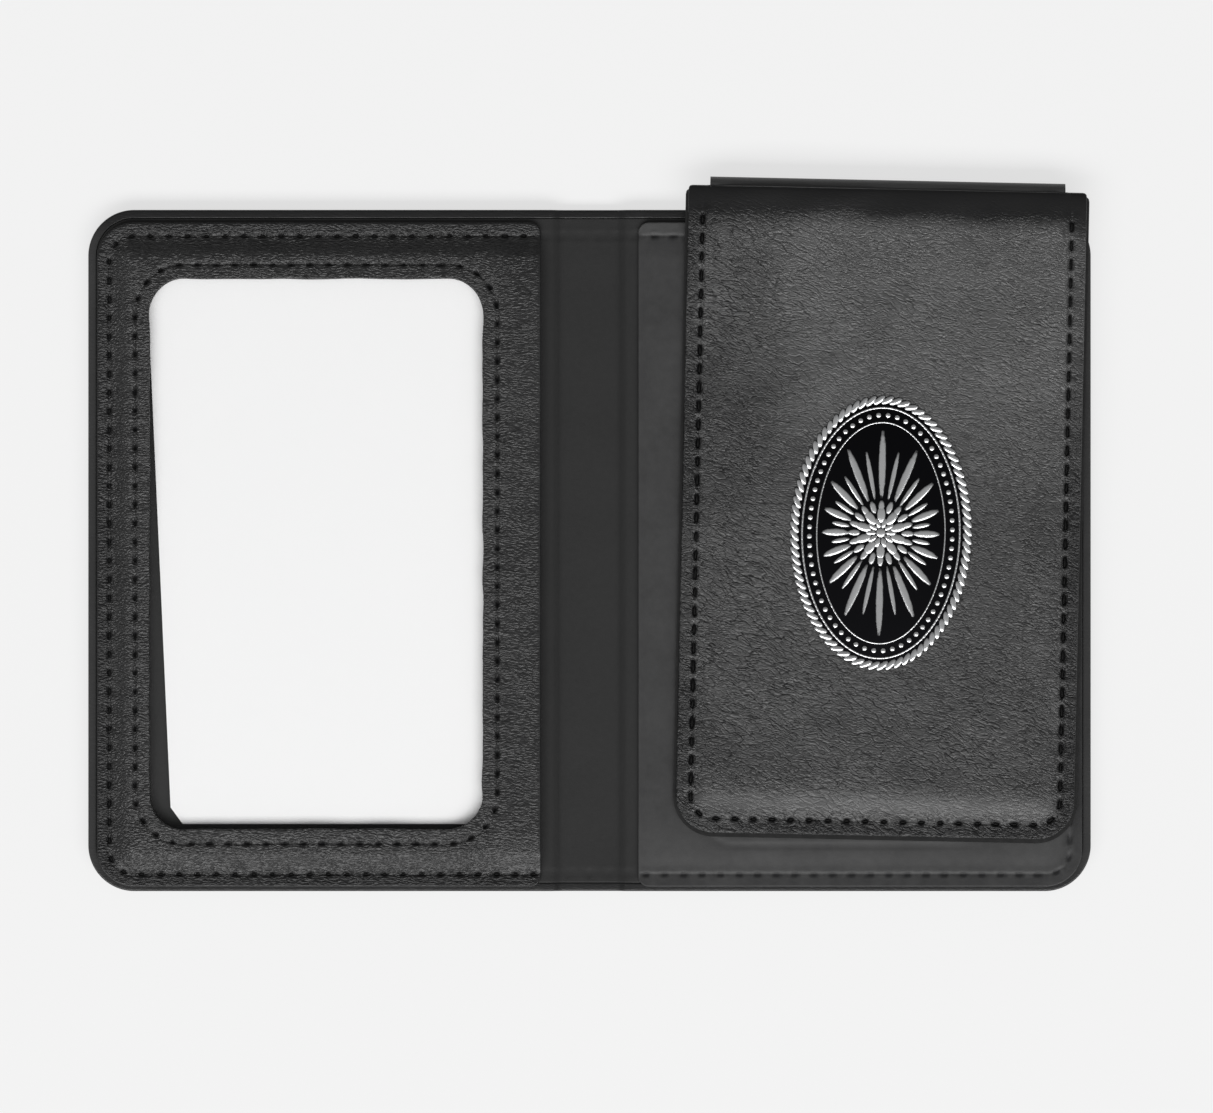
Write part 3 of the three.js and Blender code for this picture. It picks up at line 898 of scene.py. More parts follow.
@dataclass(frozen=True)
class Plain:
    """A finish of one colour with a fine uneven surface.

    Attributes:
        name: The material's name.
        colour: Its main colour.
        other: The colour that it varies towards.
        roughness: Its least and greatest roughness.
        grit: The width of its unevenness, in millimetres.
        relief: The height of its unevenness, in millimetres.
        alpha: How much of what lies behind it it hides.
        specular: How strongly it reflects.
    """

    name: str
    colour: str
    other: str
    roughness: tuple[float, float]
    grit: tuple[float, float, float]
    relief: float
    alpha: float = 1.0
    specular: float = 0.5

    def material(self) -> Material:
        """The finish, which reads places in the object.

        Returns:
            The material.
        """
        material, tree, surface = blank_material(self.name)
        place = add_node(tree, "TexCoord", {}, "Object")
        laid = {"Vector": place, "Scale": Vector(self.grit) * MM}
        laid = add_node(tree, "Mapping", laid, vector_type="TEXTURE")
        grit = add_node(tree, "TexNoise", {"Vector": laid, "Scale": 1.0, "Detail": 5.0, "Roughness": 0.6})
        share = add_node(tree, "MapRange", {"Value": grit, "From Min": 0.35, "From Max": 0.75})
        shades = {0: share, 6: linear(self.colour), 7: linear(self.other)}
        low, high = self.roughness
        shader = add_node(
            tree,
            "BsdfPrincipled",
            {
                "Base Color": add_node(tree, "Mix", shades, 2, data_type="RGBA"),
                "Roughness": add_node(tree, "MapRange", {"Value": grit, "To Min": low, "To Max": high}),
                "IOR": PRINCIPLED_IOR,
                "Specular IOR Level": self.specular,
                "Alpha": self.alpha,
                "Normal": add_node(
                    tree, "Bump", {"Height": grit, "Distance": self.relief * MM, "Strength": 1.0}
                ),
            },
        )
        tree.links.new(shader, surface)
        return material


@dataclass(frozen=True)
class StruckMetal:
    """Metal struck in a die, blackened, and rubbed bright again on its ridges.

    Attributes:
        name: The material's name.
        hollow: The colour of the blackened hollows.
        ridge: The colour of the bright ridges.
        levels: Where the blackening fades, in millimetres above the table.
        roughness: The roughness of the hollows and of the ridges.
        stain: How far the blackening reaches up and down, in millimetres.
        scratch: The depth of the scratches, in millimetres.
    """

    name: str
    hollow: str
    ridge: str
    levels: tuple[float, float]
    roughness: tuple[float, float] = (0.5, 0.24)
    stain: float = 0.1
    scratch: float = 0.006

    def material(self) -> Material:
        """The finish, which reads how high each place stands at rest.

        Returns:
            The material.
        """
        material, tree, surface = blank_material(self.name)
        rest = add_node(tree, "Attribute", {}, "Vector", attribute_name=REST)
        height = add_node(tree, "SeparateXYZ", (rest,), "Z")
        stain = {"Vector": rest, "Scale": wide(0.5), "Detail": 3.0, "Roughness": PATCHY}
        stain = add_node(tree, "TexNoise", stain)
        uneven = add_node(tree, "Math", (stain, self.stain * MM, height), operation="MULTIPLY_ADD")
        low, high = ((level + self.stain / 2) * MM for level in self.levels)
        bright = add_node(tree, "MapRange", {"Value": uneven, "From Min": low, "From Max": high})
        shades = {0: bright, 6: linear(self.hollow), 7: linear(self.ridge)}
        fine = {"Vector": rest, "Scale": wide(0.2), "Detail": 2.0, "Roughness": PATCHY}
        fine = add_node(tree, "TexNoise", fine)
        low, high = self.roughness
        shader = add_node(
            tree,
            "BsdfPrincipled",
            {
                "Base Color": add_node(tree, "Mix", shades, 2, data_type="RGBA"),
                "Roughness": add_node(tree, "MapRange", {"Value": bright, "To Min": low, "To Max": high}),
                "Metallic": 1.0,
                "Normal": add_node(
                    tree, "Bump", {"Height": fine, "Distance": self.scratch * MM, "Strength": 1.0}
                ),
            },
        )
        tree.links.new(shader, surface)
        return material


# The real material, how its surface was made, and what that gives the eye.

# Coated leather rolled under a pebbled plate: small rounded cells that glint on the lit side.
PEBBLED_LEATHER = Leather(
    "leather_embossed_pebbled",
    Grain.PEBBLED,
    fresh="#070708",
    rubbed="#363636",
    roughness=(0.28, 0.46),
    specular=0.5,
    cell=(0.84, 0.29),
    turn=-6,
    relief=0.11,
).material()
# Softer coated leather, milled: low creases that run across the flap, and a wide soft gloss.
CREASED_LEATHER = Leather(
    "leather_milled_creased",
    Grain.CREASED,
    fresh="#060607",
    rubbed="#505050",
    roughness=(0.26, 0.44),
    specular=0.5,
    cell=(0.8, 0.3),
    turn=-14,
    relief=0.12,
    buffing=0.3,
).material()
# The same leather left smooth: an even dull sheen with hardly any grain.
SATIN_LEATHER = Leather(
    "leather_smooth_satin",
    Grain.SATIN,
    fresh="#161617",
    rubbed="#404040",
    roughness=(0.46, 0.6),
    specular=0.5,
    cell=(1.3, 1.3),
    turn=0,
    relief=0.02,
).material()
# Thin lining leather, matt and nearly black.
LINING_LEATHER = Leather(
    "leather_lining_matt",
    Grain.SATIN,
    fresh="#101010",
    rubbed="#242424",
    roughness=(0.5, 0.66),
    specular=0.4,
    cell=(0.8, 0.8),
    turn=0,
    relief=0.015,
).material()
# Acrylic paint brushed on the cut edges: darker and glossier than the leather.
EDGE_BLACK = Plain(
    "edge_paint_brushed", "#080808", "#101010", roughness=(0.3, 0.5), grit=(0.9, 0.9, 0.4), relief=0.02
).material()
# Waxed polyester thread: dark, with a dull sheen.
BLACK_THREAD = Plain(
    "polyester_thread_waxed",
    "#040404",
    "#090909",
    roughness=(0.65, 0.9),
    grit=(0.16, 0.16, 0.16),
    relief=0.03,
    specular=0.25,
).material()
# Calendered clear PVC sheet: glass-smooth, all but invisible over the card.
CLEAR_SHEET = Plain(
    "pvc_calendered_clear",
    "#8e8e8e",
    "#9a9a9a",
    roughness=(0.03, 0.08),
    grit=(12, 12, 12),
    relief=0.004,
    alpha=0.02,
).material()
# Uncoated white card: flat, very slightly mottled.
WHITE_CARD = Plain(
    "card_uncoated_white", "#f6f6f6", "#f8f8f8", roughness=(0.8, 0.95), grit=(0.5, 0.5, 0.5), relief=0.004
).material()
# Pressed greyboard: dusty grey fibres.
GREY_BOARD = Plain(
    "greyboard_pressed", "#8b877e", "#a09b91", roughness=(0.85, 1.0), grit=(0.6, 0.6, 0.2), relief=0.02
).material()
# Struck nickel silver, blackened and rubbed back: bright on the ridges, dark in the hollows.
SILVER_METAL = StruckMetal(
    "nickel_silver_struck", hollow="#131315", ridge="#ecedee", levels=(FLAP_TOP + 0.13, FLAP_TOP + 0.22)
).material()


# Sub-assemblies.

HALF_WIDTH = 75.2
HALF_HEIGHT = 51.1
COVER_CORNER = 6.9
SEAM_INSET = 1.7
# Within these places the panels leave the lining bare, the edge seam lies in the lining, and the
# sheets have climbed from the spine and lie flat.
LINING_BARE = 7.2
SEAM_IN_LINING = 7.6
CLIMB_END = 8
COVER_EDGE = Edge(-HALF_WIDTH, HALF_WIDTH, -HALF_HEIGHT, HALF_HEIGHT, (COVER_CORNER,) * 4)
EDGE_SEAM = Seam(Edge(-73.7, 73.7, -50.2, 48.9, (5.4, 5.4, 5.4, 5.4)).line(SEAM_INSET), closed=True)
# The panel of the right half, and the line that its seam follows, which runs on past the open side.
PANEL_EDGE = Edge(7.3, 73.9, -50.4, 49.2, (1.6, 5.6, 5.6, 1.6))
SEWN_EDGE = Edge(-5, 73.7, -50.2, 48.9, (1.2, 5.4, 5.4, 1.2))


class Side(Enum):
    """A half of the wallet, with its outward sign and the names of its body and nodes."""

    LEFT = (-1, "left")
    RIGHT = (1, "right")

    @property
    def sign(self) -> int:
        """The way outwards along X."""
        return self.value[0]

    @property
    def label(self) -> str:
        """The half's name in the model."""
        return self.value[1]

    @property
    def body(self) -> str:
        """The body that the half's pieces move with."""
        return f"{self.label}_cover"

    def mirrored(self, edge: Edge) -> Edge:
        """Brings an edge to this half.

        Args:
            edge: An edge of the right half.

        Returns:
            The same edge on this half.
        """
        if self is Side.RIGHT:
            return edge
        low_left, low_right, high_right, high_left = edge.radii
        radii = (low_right, low_left, high_left, high_right)
        return Edge(-edge.right, -edge.left, edge.bottom, edge.top, radii)

    def bend(self, piece: Object) -> None:
        """Bakes a piece's place into its mesh."""
        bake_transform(piece)


def level_at(height: float) -> Heights:
    """A level face."""
    return lambda x, y: np.full(x.shape, height)


def spine_slope(x: Array) -> Array:
    """The level of the lining and the rim, which climbs from the spine onto the board beside it."""
    return SPINE_TOP + (LINING_TOP - SPINE_TOP) * smooth_step(np.abs(x), 3.9, 5.8)


def climbed(depth: Array) -> Array:
    """How far a panel has climbed from its edge seam onto what it covers, from 0 to 1."""
    return smooth_step(depth, 2.05, 4.9)


@dataclass
class Case:
    """One half of the outer cover, with its lining and its share of the edge seam.

    Attributes:
        side: The half.
        rim: The width of the turned-up edge.
        rim_round: How round its outer side is.
        rim_inner_round: How round its inner side is.
        notch: Where the tongue comes out of the right half's edge.
        lining_inset: How far the lining's edge lies inside the cover's.
        lining_depth: The lining's thickness in the mesh.
    """

    side: Side
    rim: float = 1.2
    rim_round: float = 0.26
    rim_inner_round: float = 0.14
    notch: tuple[float, float] = (17.9, 71.6)
    lining_inset: float = 1.24
    lining_depth: float = 0.33

    def rim_top(self, x: Array, y: Array) -> Array:
        """The turned-up edge, lower across the spine and where the tongue comes out.

        Args:
            x: The places across.
            y: The places up.

        Returns:
            The heights of the edge, and inside it those of the cover, hidden by the lining.
        """
        depth = COVER_EDGE.depth(x, y)
        level = spine_slope(x)
        if self.side is Side.RIGHT:
            inside = (x > self.notch[0]) & (x < self.notch[1]) & (y > 0)
            level = np.where(inside, COVER_THICKNESS + 0.1, level)
        rim = level - rounding(depth, self.rim_round)
        rim -= rounding(self.rim + 0.04 - depth, self.rim_inner_round)
        # Inside the rim a narrow shelf lies under the lining's edge, and the rest is hidden below.
        shelf = np.where(depth < self.rim + 0.22, level - 0.3, COVER_THICKNESS - 0.15)
        return np.where(depth < self.rim + 0.02, np.maximum(rim, 0.45), shelf)

    def outside(self, x: Array, y: Array) -> Array:
        """The outer face, rounded at its edge and drawn in by the seam."""
        drawn = np.maximum(EDGE_SEAM.draw_in(x, y, 0.36), 0)
        return 0.02 + rounding(COVER_EDGE.depth(x, y), 0.42) + drawn

    def rim_wear_and_light(self, x: Array, y: Array) -> tuple[Array, Array]:
        """The turned edge is stretched smooth and rubbed a little, and painted lighter along the left and
        right sides than at the top and foot, as painted light.
        """
        at_the_side = smooth_step(HALF_HEIGHT - np.abs(y), 1, 5)
        return 0.12 + 0.88 * smooth_step(COVER_EDGE.depth(x, y), 1.3, 4), 0.2 + 0.75 * at_the_side

    def lining_top(self, x: Array, y: Array) -> Array:
        """The lining, which dips across the spine and is faintly wrinkled there.

        Args:
            x: The places across.
            y: The places up.

        Returns:
            The heights of its upper face.
        """
        depth = COVER_EDGE.depth(x, y) - self.lining_inset
        wrinkles = 0.014 * bump(np.abs(x), 2.4, 2.6) * np.sin(y / 2.1 + 1.3 * np.sin(y / 7.3))
        drawn = np.where(np.abs(x) < LINING_BARE, EDGE_SEAM.draw_in(x, y, 0.16), 0)
        return spine_slope(x) - rounding(depth, 0.15) + wrinkles - drawn

    def lining_under(self, x: Array, y: Array) -> Array:
        """The lower face of the lining."""
        return self.lining_top(x, y) - self.lining_depth

    def thread_top(self, x: Array, y: Array) -> Array:
        """The crown of the edge seam's thread: in the panels, and between them in the lining."""
        leather = np.where(np.abs(x) > SEAM_IN_LINING, LINING_TOP + LEATHER, spine_slope(x) + 0.12)
        # The soft pocket panel closes a little further over the thread.
        return leather - EDGE_SEAM.sunk - np.where(x > SEAM_IN_LINING, 0.04, 0)

    def outline(self, inset: float) -> Edge:
        """The half's outline from the middle of the spine outwards, drawn in by an inset."""
        right, top, corner = HALF_WIDTH - inset, HALF_HEIGHT - inset, COVER_CORNER - inset
        return self.side.mirrored(Edge(0, right, -top, top, (0, corner, corner, 0)))

    def build(self) -> None:
        """Makes the half's cover, lining and thread."""
        sign, side = self.side.sign, self.side
        notch = self.notch if side is Side.RIGHT else ()
        shape = Sheet(
            self.outline(0),
            self.rim_top,
            self.outside,
            pitch=0.5,
            stops_x=(sign * (HALF_WIDTH - self.rim), sign * CLIMB_END, *notch),
            stops_y=(self.rim - HALF_HEIGHT, HALF_HEIGHT - self.rim),
            wear_and_light=self.rim_wear_and_light,
        ).shape()
        # The cover's edge is turned and not cut, so it has no paint.
        for face in shape.faces:
            face.material_index = 0
        cover = finished(f"cover_half_{side.label}", shape, [PEBBLED_LEATHER])
        side.bend(cover)
        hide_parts(f"cover_{side.label}", "cover_spine")

        shape = Sheet(
            self.outline(self.lining_inset),
            self.lining_top,
            self.lining_under,
            pitch=0.6,
            stops_x=(sign * CLIMB_END,),
        ).shape()
        lining = finished(f"lining_half_{side.label}", shape, [LINING_LEATHER, EDGE_BLACK])
        side.bend(lining)
        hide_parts(f"lining_{side.label}", "lining_spine")

        shape = stitches([(EDGE_SEAM, self.thread_top, 1), (EDGE_SEAM, level_at(0.12), -1)], half=sign)
        thread = finished(f"edge_thread_{side.label}", shape, [BLACK_THREAD])
        side.bend(thread)
        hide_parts(f"seam_{side.label}", "seam_spine_top", "seam_spine_bottom")


@dataclass
class WindowPocket:
    """The window panel, its clear sheet, the blank card in it and the window seam.

    Attributes:
        panel: The panel's outline.
        sewn: The line that the edge seam follows.
        window: The opening.
        seam_outset: How far the window seam lies outside the opening.
        ripple: How the glued leather undulates.
        stray: How the knife strayed as it cut the opening.
    """

    panel: Edge = Side.LEFT.mirrored(PANEL_EDGE)
    sewn: Edge = Side.LEFT.mirrored(SEWN_EDGE)
    window: Edge = Edge(-65.9, -16.0, -41.7, 40.7, (5.2, 5.2, 5.2, 5.2))
    seam_outset: float = 2.2
    ripple: Undulation = Undulation(11, 0.03, 16, 4)
    stray: Undulation = Undulation(3, 0.07, 12, 4)

    def __post_init__(self) -> None:
        """Sets out the window seam."""
        self.seam = Seam(self.window.line(-self.seam_outset), closed=True)

    def lift(self, x: Array, y: Array) -> Array:
        """How far the panel has climbed from its edge seam onto the card."""
        return FRAME_RISE * climbed(self.sewn.depth(x, y))

    def top(self, x: Array, y: Array) -> Array:
        """The upper face of the panel, pressed in along its seams and raised round the window.

        Args:
            x: The places across.
            y: The places up.

        Returns:
            The heights.
        """
        depth, outset = self.sewn.depth(x, y), -self.window.depth(x, y)
        valley = bump(depth, SEAM_INSET, np.where(depth > SEAM_INSET, 0.6, 1.2))
        level = LINING_TOP + LEATHER + self.lift(x, y) + self.ripple(x, y)
        level += 0.3 * smooth_step(depth, 3.2, 8.4) - 0.17 * valley
        level -= EDGE_SEAM.draw_in(x, y) * (self.panel.depth(x, y) > 0.3)
        level -= self.seam.draw_in(x, y) + 0.12 * bump(outset, self.seam_outset, 0.9)
        return level - rounding(self.panel.depth(x, y), 0.15) - rounding(outset, 0.22)

    def under(self, x: Array, y: Array) -> Array:
        """The lower face of the panel."""
        return LINING_TOP + self.lift(x, y) + 0.03

    def wear_and_light(self, x: Array, y: Array) -> tuple[Array, Array]:
        """The margin outside the edge seam is painted darker as painted shade, darkest at the foot, and so
        are the needle holes.

        Args:
            x: The places across.
            y: The places up.

        Returns:
            How full the grain is, and how rubbed the leather, with the shade painted on it.
        """
        margin = 1 - smooth_step(self.sewn.depth(x, y), 1.2, 1.9)
        # Painted shade on the margin, stronger at the foot.
        painted_margin_shade = 0.48 - 0.2 * smooth_step(y, -20, 20)
        pits, puckers = np.maximum(EDGE_SEAM.pits(x, y), self.seam.pits(x, y))
        grain = smooth_step(self.panel.depth(x, y), 0.0, 0.5) * (1 - pits) * (1 + 0.5 * puckers)
        # The side at the spine is pressed smoother.
        grain *= 1 - 0.3 * smooth_step(x, -16, -12)
        # Painted shade on the margin and in the needle holes.
        return grain, 0.42 - painted_margin_shade * margin - 0.4 * pits

    def build(self) -> None:
        """Makes the panel and its window thread, and dresses the card and the clear sheet."""
        shape = Sheet(
            self.panel,
            self.top,
            self.under,
            pitch=0.35,
            seam_inset=SEAM_INSET,
            hole=self.window,
            hole_seam=self.seam_outset,
            stray=self.stray,
            wear_and_light=self.wear_and_light,
        ).shape()
        panel = finished("window_panel", shape, [PEBBLED_LEATHER, EDGE_BLACK])
        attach(panel, "left_cover")
        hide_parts("window_frame")

        crown = level_at(LINING_TOP + LEATHER + FRAME_RISE - self.seam.sunk)
        thread = finished("window_thread", stitches([(self.seam, crown, 1)]), [BLACK_THREAD])
        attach(thread, "left_cover")
        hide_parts("seam_window")
        dress("blank_insert", WHITE_CARD)
        dress("clear_window", CLEAR_SHEET)
        dress("board_left", GREY_BOARD)


@dataclass
class SlipPocket:
    """The smooth pocket panel of the right half.

    Attributes:
        panel: The panel's outline.
        sewn: The line that the edge seam follows.
        foot: The outline of the closed flap, which has marked the panel.
        ripple: How the glued leather undulates.
    """

    panel: Edge = PANEL_EDGE
    sewn: Edge = SEWN_EDGE
    foot: Edge = Edge(15.6, 90, -44.3, 60, (6.6, 0, 0, 0))
    ripple: Undulation = Undulation(19, 0.05, 26, 7)

    def top(self, x: Array, y: Array) -> Array:
        """The upper face of the panel.

        Args:
            x: The places across.
            y: The places up.

        Returns:
            The heights.
        """
        depth, sewn = self.panel.depth(x, y), self.sewn.depth(x, y)
        level = LINING_TOP + LEATHER + POCKET_RISE * climbed(sewn) + np.minimum(self.ripple(x, y), 0.05)
        level -= EDGE_SEAM.draw_in(x, y, 0.18) * (depth > 0.3)
        level -= 0.06 * bump(sewn, SEAM_INSET, np.where(sewn > SEAM_INSET, 0.3, 1.0))
        # The open side is pressed thinner.
        level -= 0.25 * (1 - smooth_step(x, self.panel.left, self.panel.left + 1.6))
        return level - self.pressed(x, y) - rounding(depth, 0.14)

    def pressed(self, x: Array, y: Array) -> Array:
        """The line that the flap's foot has pressed into the pocket."""
        fades = smooth_step(x, 15.5, 19.5) * (1 - smooth_step(x, 50, 62))
        return 0.11 * bump(self.foot.depth(x, y), 0, 0.28) * fades

    def wear_and_light(self, x: Array, y: Array) -> tuple[Array, Array]:
        """The foot of the pocket is painted lighter, as painted light, and its margin darker low down and
        lighter high up, as painted light and shade; the seam's valley and the needle holes get painted
        shade.

        Args:
            x: The places across.
            y: The places up.

        Returns:
            How full the grain is, and how rubbed the leather, with the light and shade painted on it.
        """
        sewn = self.sewn.depth(x, y)
        margin = 1 - smooth_step(sewn, 1.2, 2.4)
        foot = 1 - smooth_step(y, -47, -36)
        lit = -0.45 + 0.8 * smooth_step(y, 15, 45)
        pits, puckers = EDGE_SEAM.pits(x, y, reach=0.5)
        # Painted light at the foot and on the margin's upper part; painted shade on its lower part, in the
        # seam's valley and in the needle holes.
        return 1 + 2 * puckers, 0.42 + 0.3 * foot + lit * margin - 0.36 * bump(sewn, 2.0, 0.8) - 0.32 * pits

    def build(self) -> None:
        """Makes the panel."""
        under = level_at(LINING_TOP + 0.02)
        shape = Sheet(self.panel, self.top, under, pitch=0.46, seam_inset=SEAM_INSET, wear_and_light=self.wear_and_light).shape()
        panel = finished("pocket_panel", shape, [SATIN_LEATHER, EDGE_BLACK])
        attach(panel, "right_cover")
        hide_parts("slip_pocket")
        dress("board_right", GREY_BOARD)


@dataclass(frozen=True)
class BeadRow:
    """A row of like lumps round the medallion.

    Attributes:
        inset: How far the row lies inside the oval.
        count: How many lumps it has.
        lift: How high their middles stand above the leather.
        turn: How far they are turned from the way of the oval, in radians.
        size: Half their length, width and height.
    """

    inset: float
    count: int
    lift: float
    turn: float
    size: tuple[float, float, float]


@dataclass(frozen=True)
class PetalRing:
    """A ring of petals in the rosette.

    Attributes:
        count: How many petals it has.
        out: How far their middles lie from the centre.
        size: Half their length, width and height.
    """

    count: int
    out: float
    size: tuple[float, float, float]


@dataclass
class Medallion:
    """A struck oval: a rope border, a row of pearls between two wires, and a sunburst round a rosette.

    Attributes:
        half_width: Half its width.
        half_height: Half its height.
        middle: The place of its centre up the flap.
        base: The height of the leather that it lies on.
        plate_inset: How far the plate under the lumps lies inside the oval.
        plate_height: The plate's thickness.
        plate_bevel: How round the plate's edge is.
        rope: The strands of the border.
        outer_wire: The wire outside the pearls.
        inner_wire: The wire inside the pearls.
        pearls: The pearls.
        rays: How many rays the sunburst has.
        ray_inset: How far the long rays' tips lie inside the oval.
        rosette: How far the rays' roots lie from the centre.
        lift: How high the middles of the rays and petals stand above the leather.
        petals: The rosette's rings, from the outermost on.
    """

    half_width: float = 13.95
    half_height: float = 20.9
    middle: float = -51.3
    base: float = FLAP_TOP
    plate_inset: float = 0.55
    plate_height: float = 0.1
    plate_bevel: float = 0.05
    rope: BeadRow = BeadRow(1.0, 84, 0.08, 0.62, (1.12, 0.46, 0.29))
    outer_wire: BeadRow = BeadRow(2.15, 150, 0.1, 0, (0.55, 0.17, 0.13))
    inner_wire: BeadRow = BeadRow(4.35, 150, 0.1, 0, (0.55, 0.13, 0.13))
    pearls: BeadRow = BeadRow(3.25, 64, 0.08, 0, (0.42, 0.42, 0.26))
    rays: int = 32
    ray_inset: float = 4.9
    rosette: float = 4.6
    lift: float = 0.05
    petals: tuple[PetalRing, ...] = (
        PetalRing(20, 4.0, (1.1, 0.52, 0.2)),
        PetalRing(10, 2.75, (1.35, 0.7, 0.27)),
        PetalRing(10, 1.5, (0.85, 0.42, 0.31)),
    )

    def __post_init__(self) -> None:
        """Makes the lump that the strands, pearls, rays and petals are struck from."""
        ball = bmesh.new()
        bmesh.ops.create_uvsphere(ball, u_segments=10, v_segments=8, radius=1)
        # The lower part is hidden in the plate, so it is cut off.
        bmesh.ops.bisect_plane(
            ball,
            geom=ball.verts[:] + ball.edges[:] + ball.faces[:],
            dist=0.01,
            plane_co=(0, 0, -math.sin(math.pi / 8)),
            plane_no=(0, 0, 1),
            clear_inner=True,
        )
        bmesh.ops.holes_fill(ball, edges=[edge for edge in ball.edges if edge.is_boundary], sides=10)
        self.lump = Stamp(ball)
        self.centre = Vector((0, self.middle, self.base))

    def oval(self, inset: float, angle: float) -> Vector:
        """A point of the oval drawn in by an inset."""
        wide, tall = self.half_width - inset, self.half_height - inset
        return Vector((wide * math.cos(angle), self.middle + tall * math.sin(angle), self.base))

    def spaced(self, inset: float, count: int, steps: int = 720) -> list[tuple[Vector, float]]:
        """Sets points evenly along the oval.

        Args:
            inset: How far the points lie inside it.
            count: How many points there are.
            steps: How finely the oval's length is measured.

        Returns:
            Each point with the way that the oval runs there, in radians.
        """
        fine = [self.oval(inset, 2 * math.pi * step / steps) for step in range(steps + 1)]
        walked = np.concatenate([[0], np.cumsum([(b - a).length for a, b in zip(fine, fine[1:])])])
        wanted = (np.arange(count) + 0.5) * walked[-1] / count
        placed = []
        for angle in np.interp(wanted, walked, np.linspace(0, 2 * math.pi, steps + 1)):
            ahead = self.oval(inset, angle + 0.01) - self.oval(inset, angle - 0.01)
            placed.append((self.oval(inset, angle), math.atan2(ahead.y, ahead.x)))
        return placed

    def strike(
        self,
        into: BMesh,
        place: Vector,
        lift: float,
        turn: float,
        size: tuple[float, float, float],
    ) -> None:
        """Adds a lump, lifted, and turned about Z."""
        spot = Matrix.Translation(place + Vector((0, 0, lift)))
        self.lump.lay(into, spot @ Matrix.Rotation(turn, 4, "Z") @ Matrix.Diagonal((*size, 1)))

    def plate(self, into: BMesh) -> None:
        """Adds the oval plate with its rounded edge.

        Args:
            into: The mesh that gets it.
        """
        made = bmesh.ops.create_circle(into, cap_ends=True, segments=120, radius=1)["verts"]
        face = made[0].link_faces[0]
        wide, tall = self.half_width - self.plate_inset, self.half_height - self.plate_inset
        spot = Matrix.Translation(self.centre) @ Matrix.Diagonal((wide, tall, 1, 1))
        bmesh.ops.transform(into, matrix=spot, verts=made)
        raised = bmesh.ops.extrude_face_region(into, geom=[face])["geom"]
        verts = [part for part in raised if isinstance(part, BMVert)]
        bmesh.ops.translate(into, vec=(0, 0, self.plate_height), verts=verts)
        bmesh.ops.bevel(
            into,
            geom=[part for part in raised if isinstance(part, BMEdge)],
            offset=self.plate_bevel,
            affect="EDGES",
            segments=3,
            profile=0.5,
            material=-1,
            offset_type="OFFSET",
        )

    def sunburst(self, into: BMesh) -> None:
        """Adds the rays, long and short by turns.

        Args:
            into: The mesh that gets them.
        """
        wide, tall = self.half_width - self.ray_inset, self.half_height - self.ray_inset
        for number in range(self.rays):
            share, width = (0.84, 0.4) if number % 2 else (1.0, 0.62)
            angle = 2 * math.pi * number / self.rays
            way = Vector((math.cos(angle), math.sin(angle), 0))
            root = self.centre + way * self.rosette
            tip = self.oval(self.ray_inset, math.atan2(way.y * wide, way.x * tall))
            tip = self.centre + (tip - self.centre) * share
            self.strike(into, (root + tip) / 2, self.lift, angle, ((tip - root).length / 2, width, 0.22))

    def flower(self, into: BMesh) -> None:
        """Adds the rosette's petals and its button.

        Args:
            into: The mesh that gets them.
        """
        for number, ring in enumerate(self.petals):
            for petal in range(ring.count):
                angle = 2 * math.pi * (petal + number / 2) / ring.count
                way = Vector((math.cos(angle), math.sin(angle), 0))
                self.strike(into, self.centre + way * ring.out, self.lift, angle, ring.size)
        self.strike(into, self.centre, 0.08, 0, (0.75, 0.75, 0.3))

    def shape(self) -> BMesh:
        """Strikes the medallion.

        Returns:
            The whole of it in one bmesh.
        """
        medal = bmesh.new()
        self.plate(medal)
        for row in (self.rope, self.outer_wire, self.inner_wire, self.pearls):
            for place, way in self.spaced(row.inset, row.count):
                self.strike(medal, place, row.lift, way + row.turn, row.size)
        self.sunburst(medal)
        self.flower(medal)
        self.lump.put_away()
        bmesh.ops.recalc_face_normals(medal, faces=medal.faces[:])
        return medal


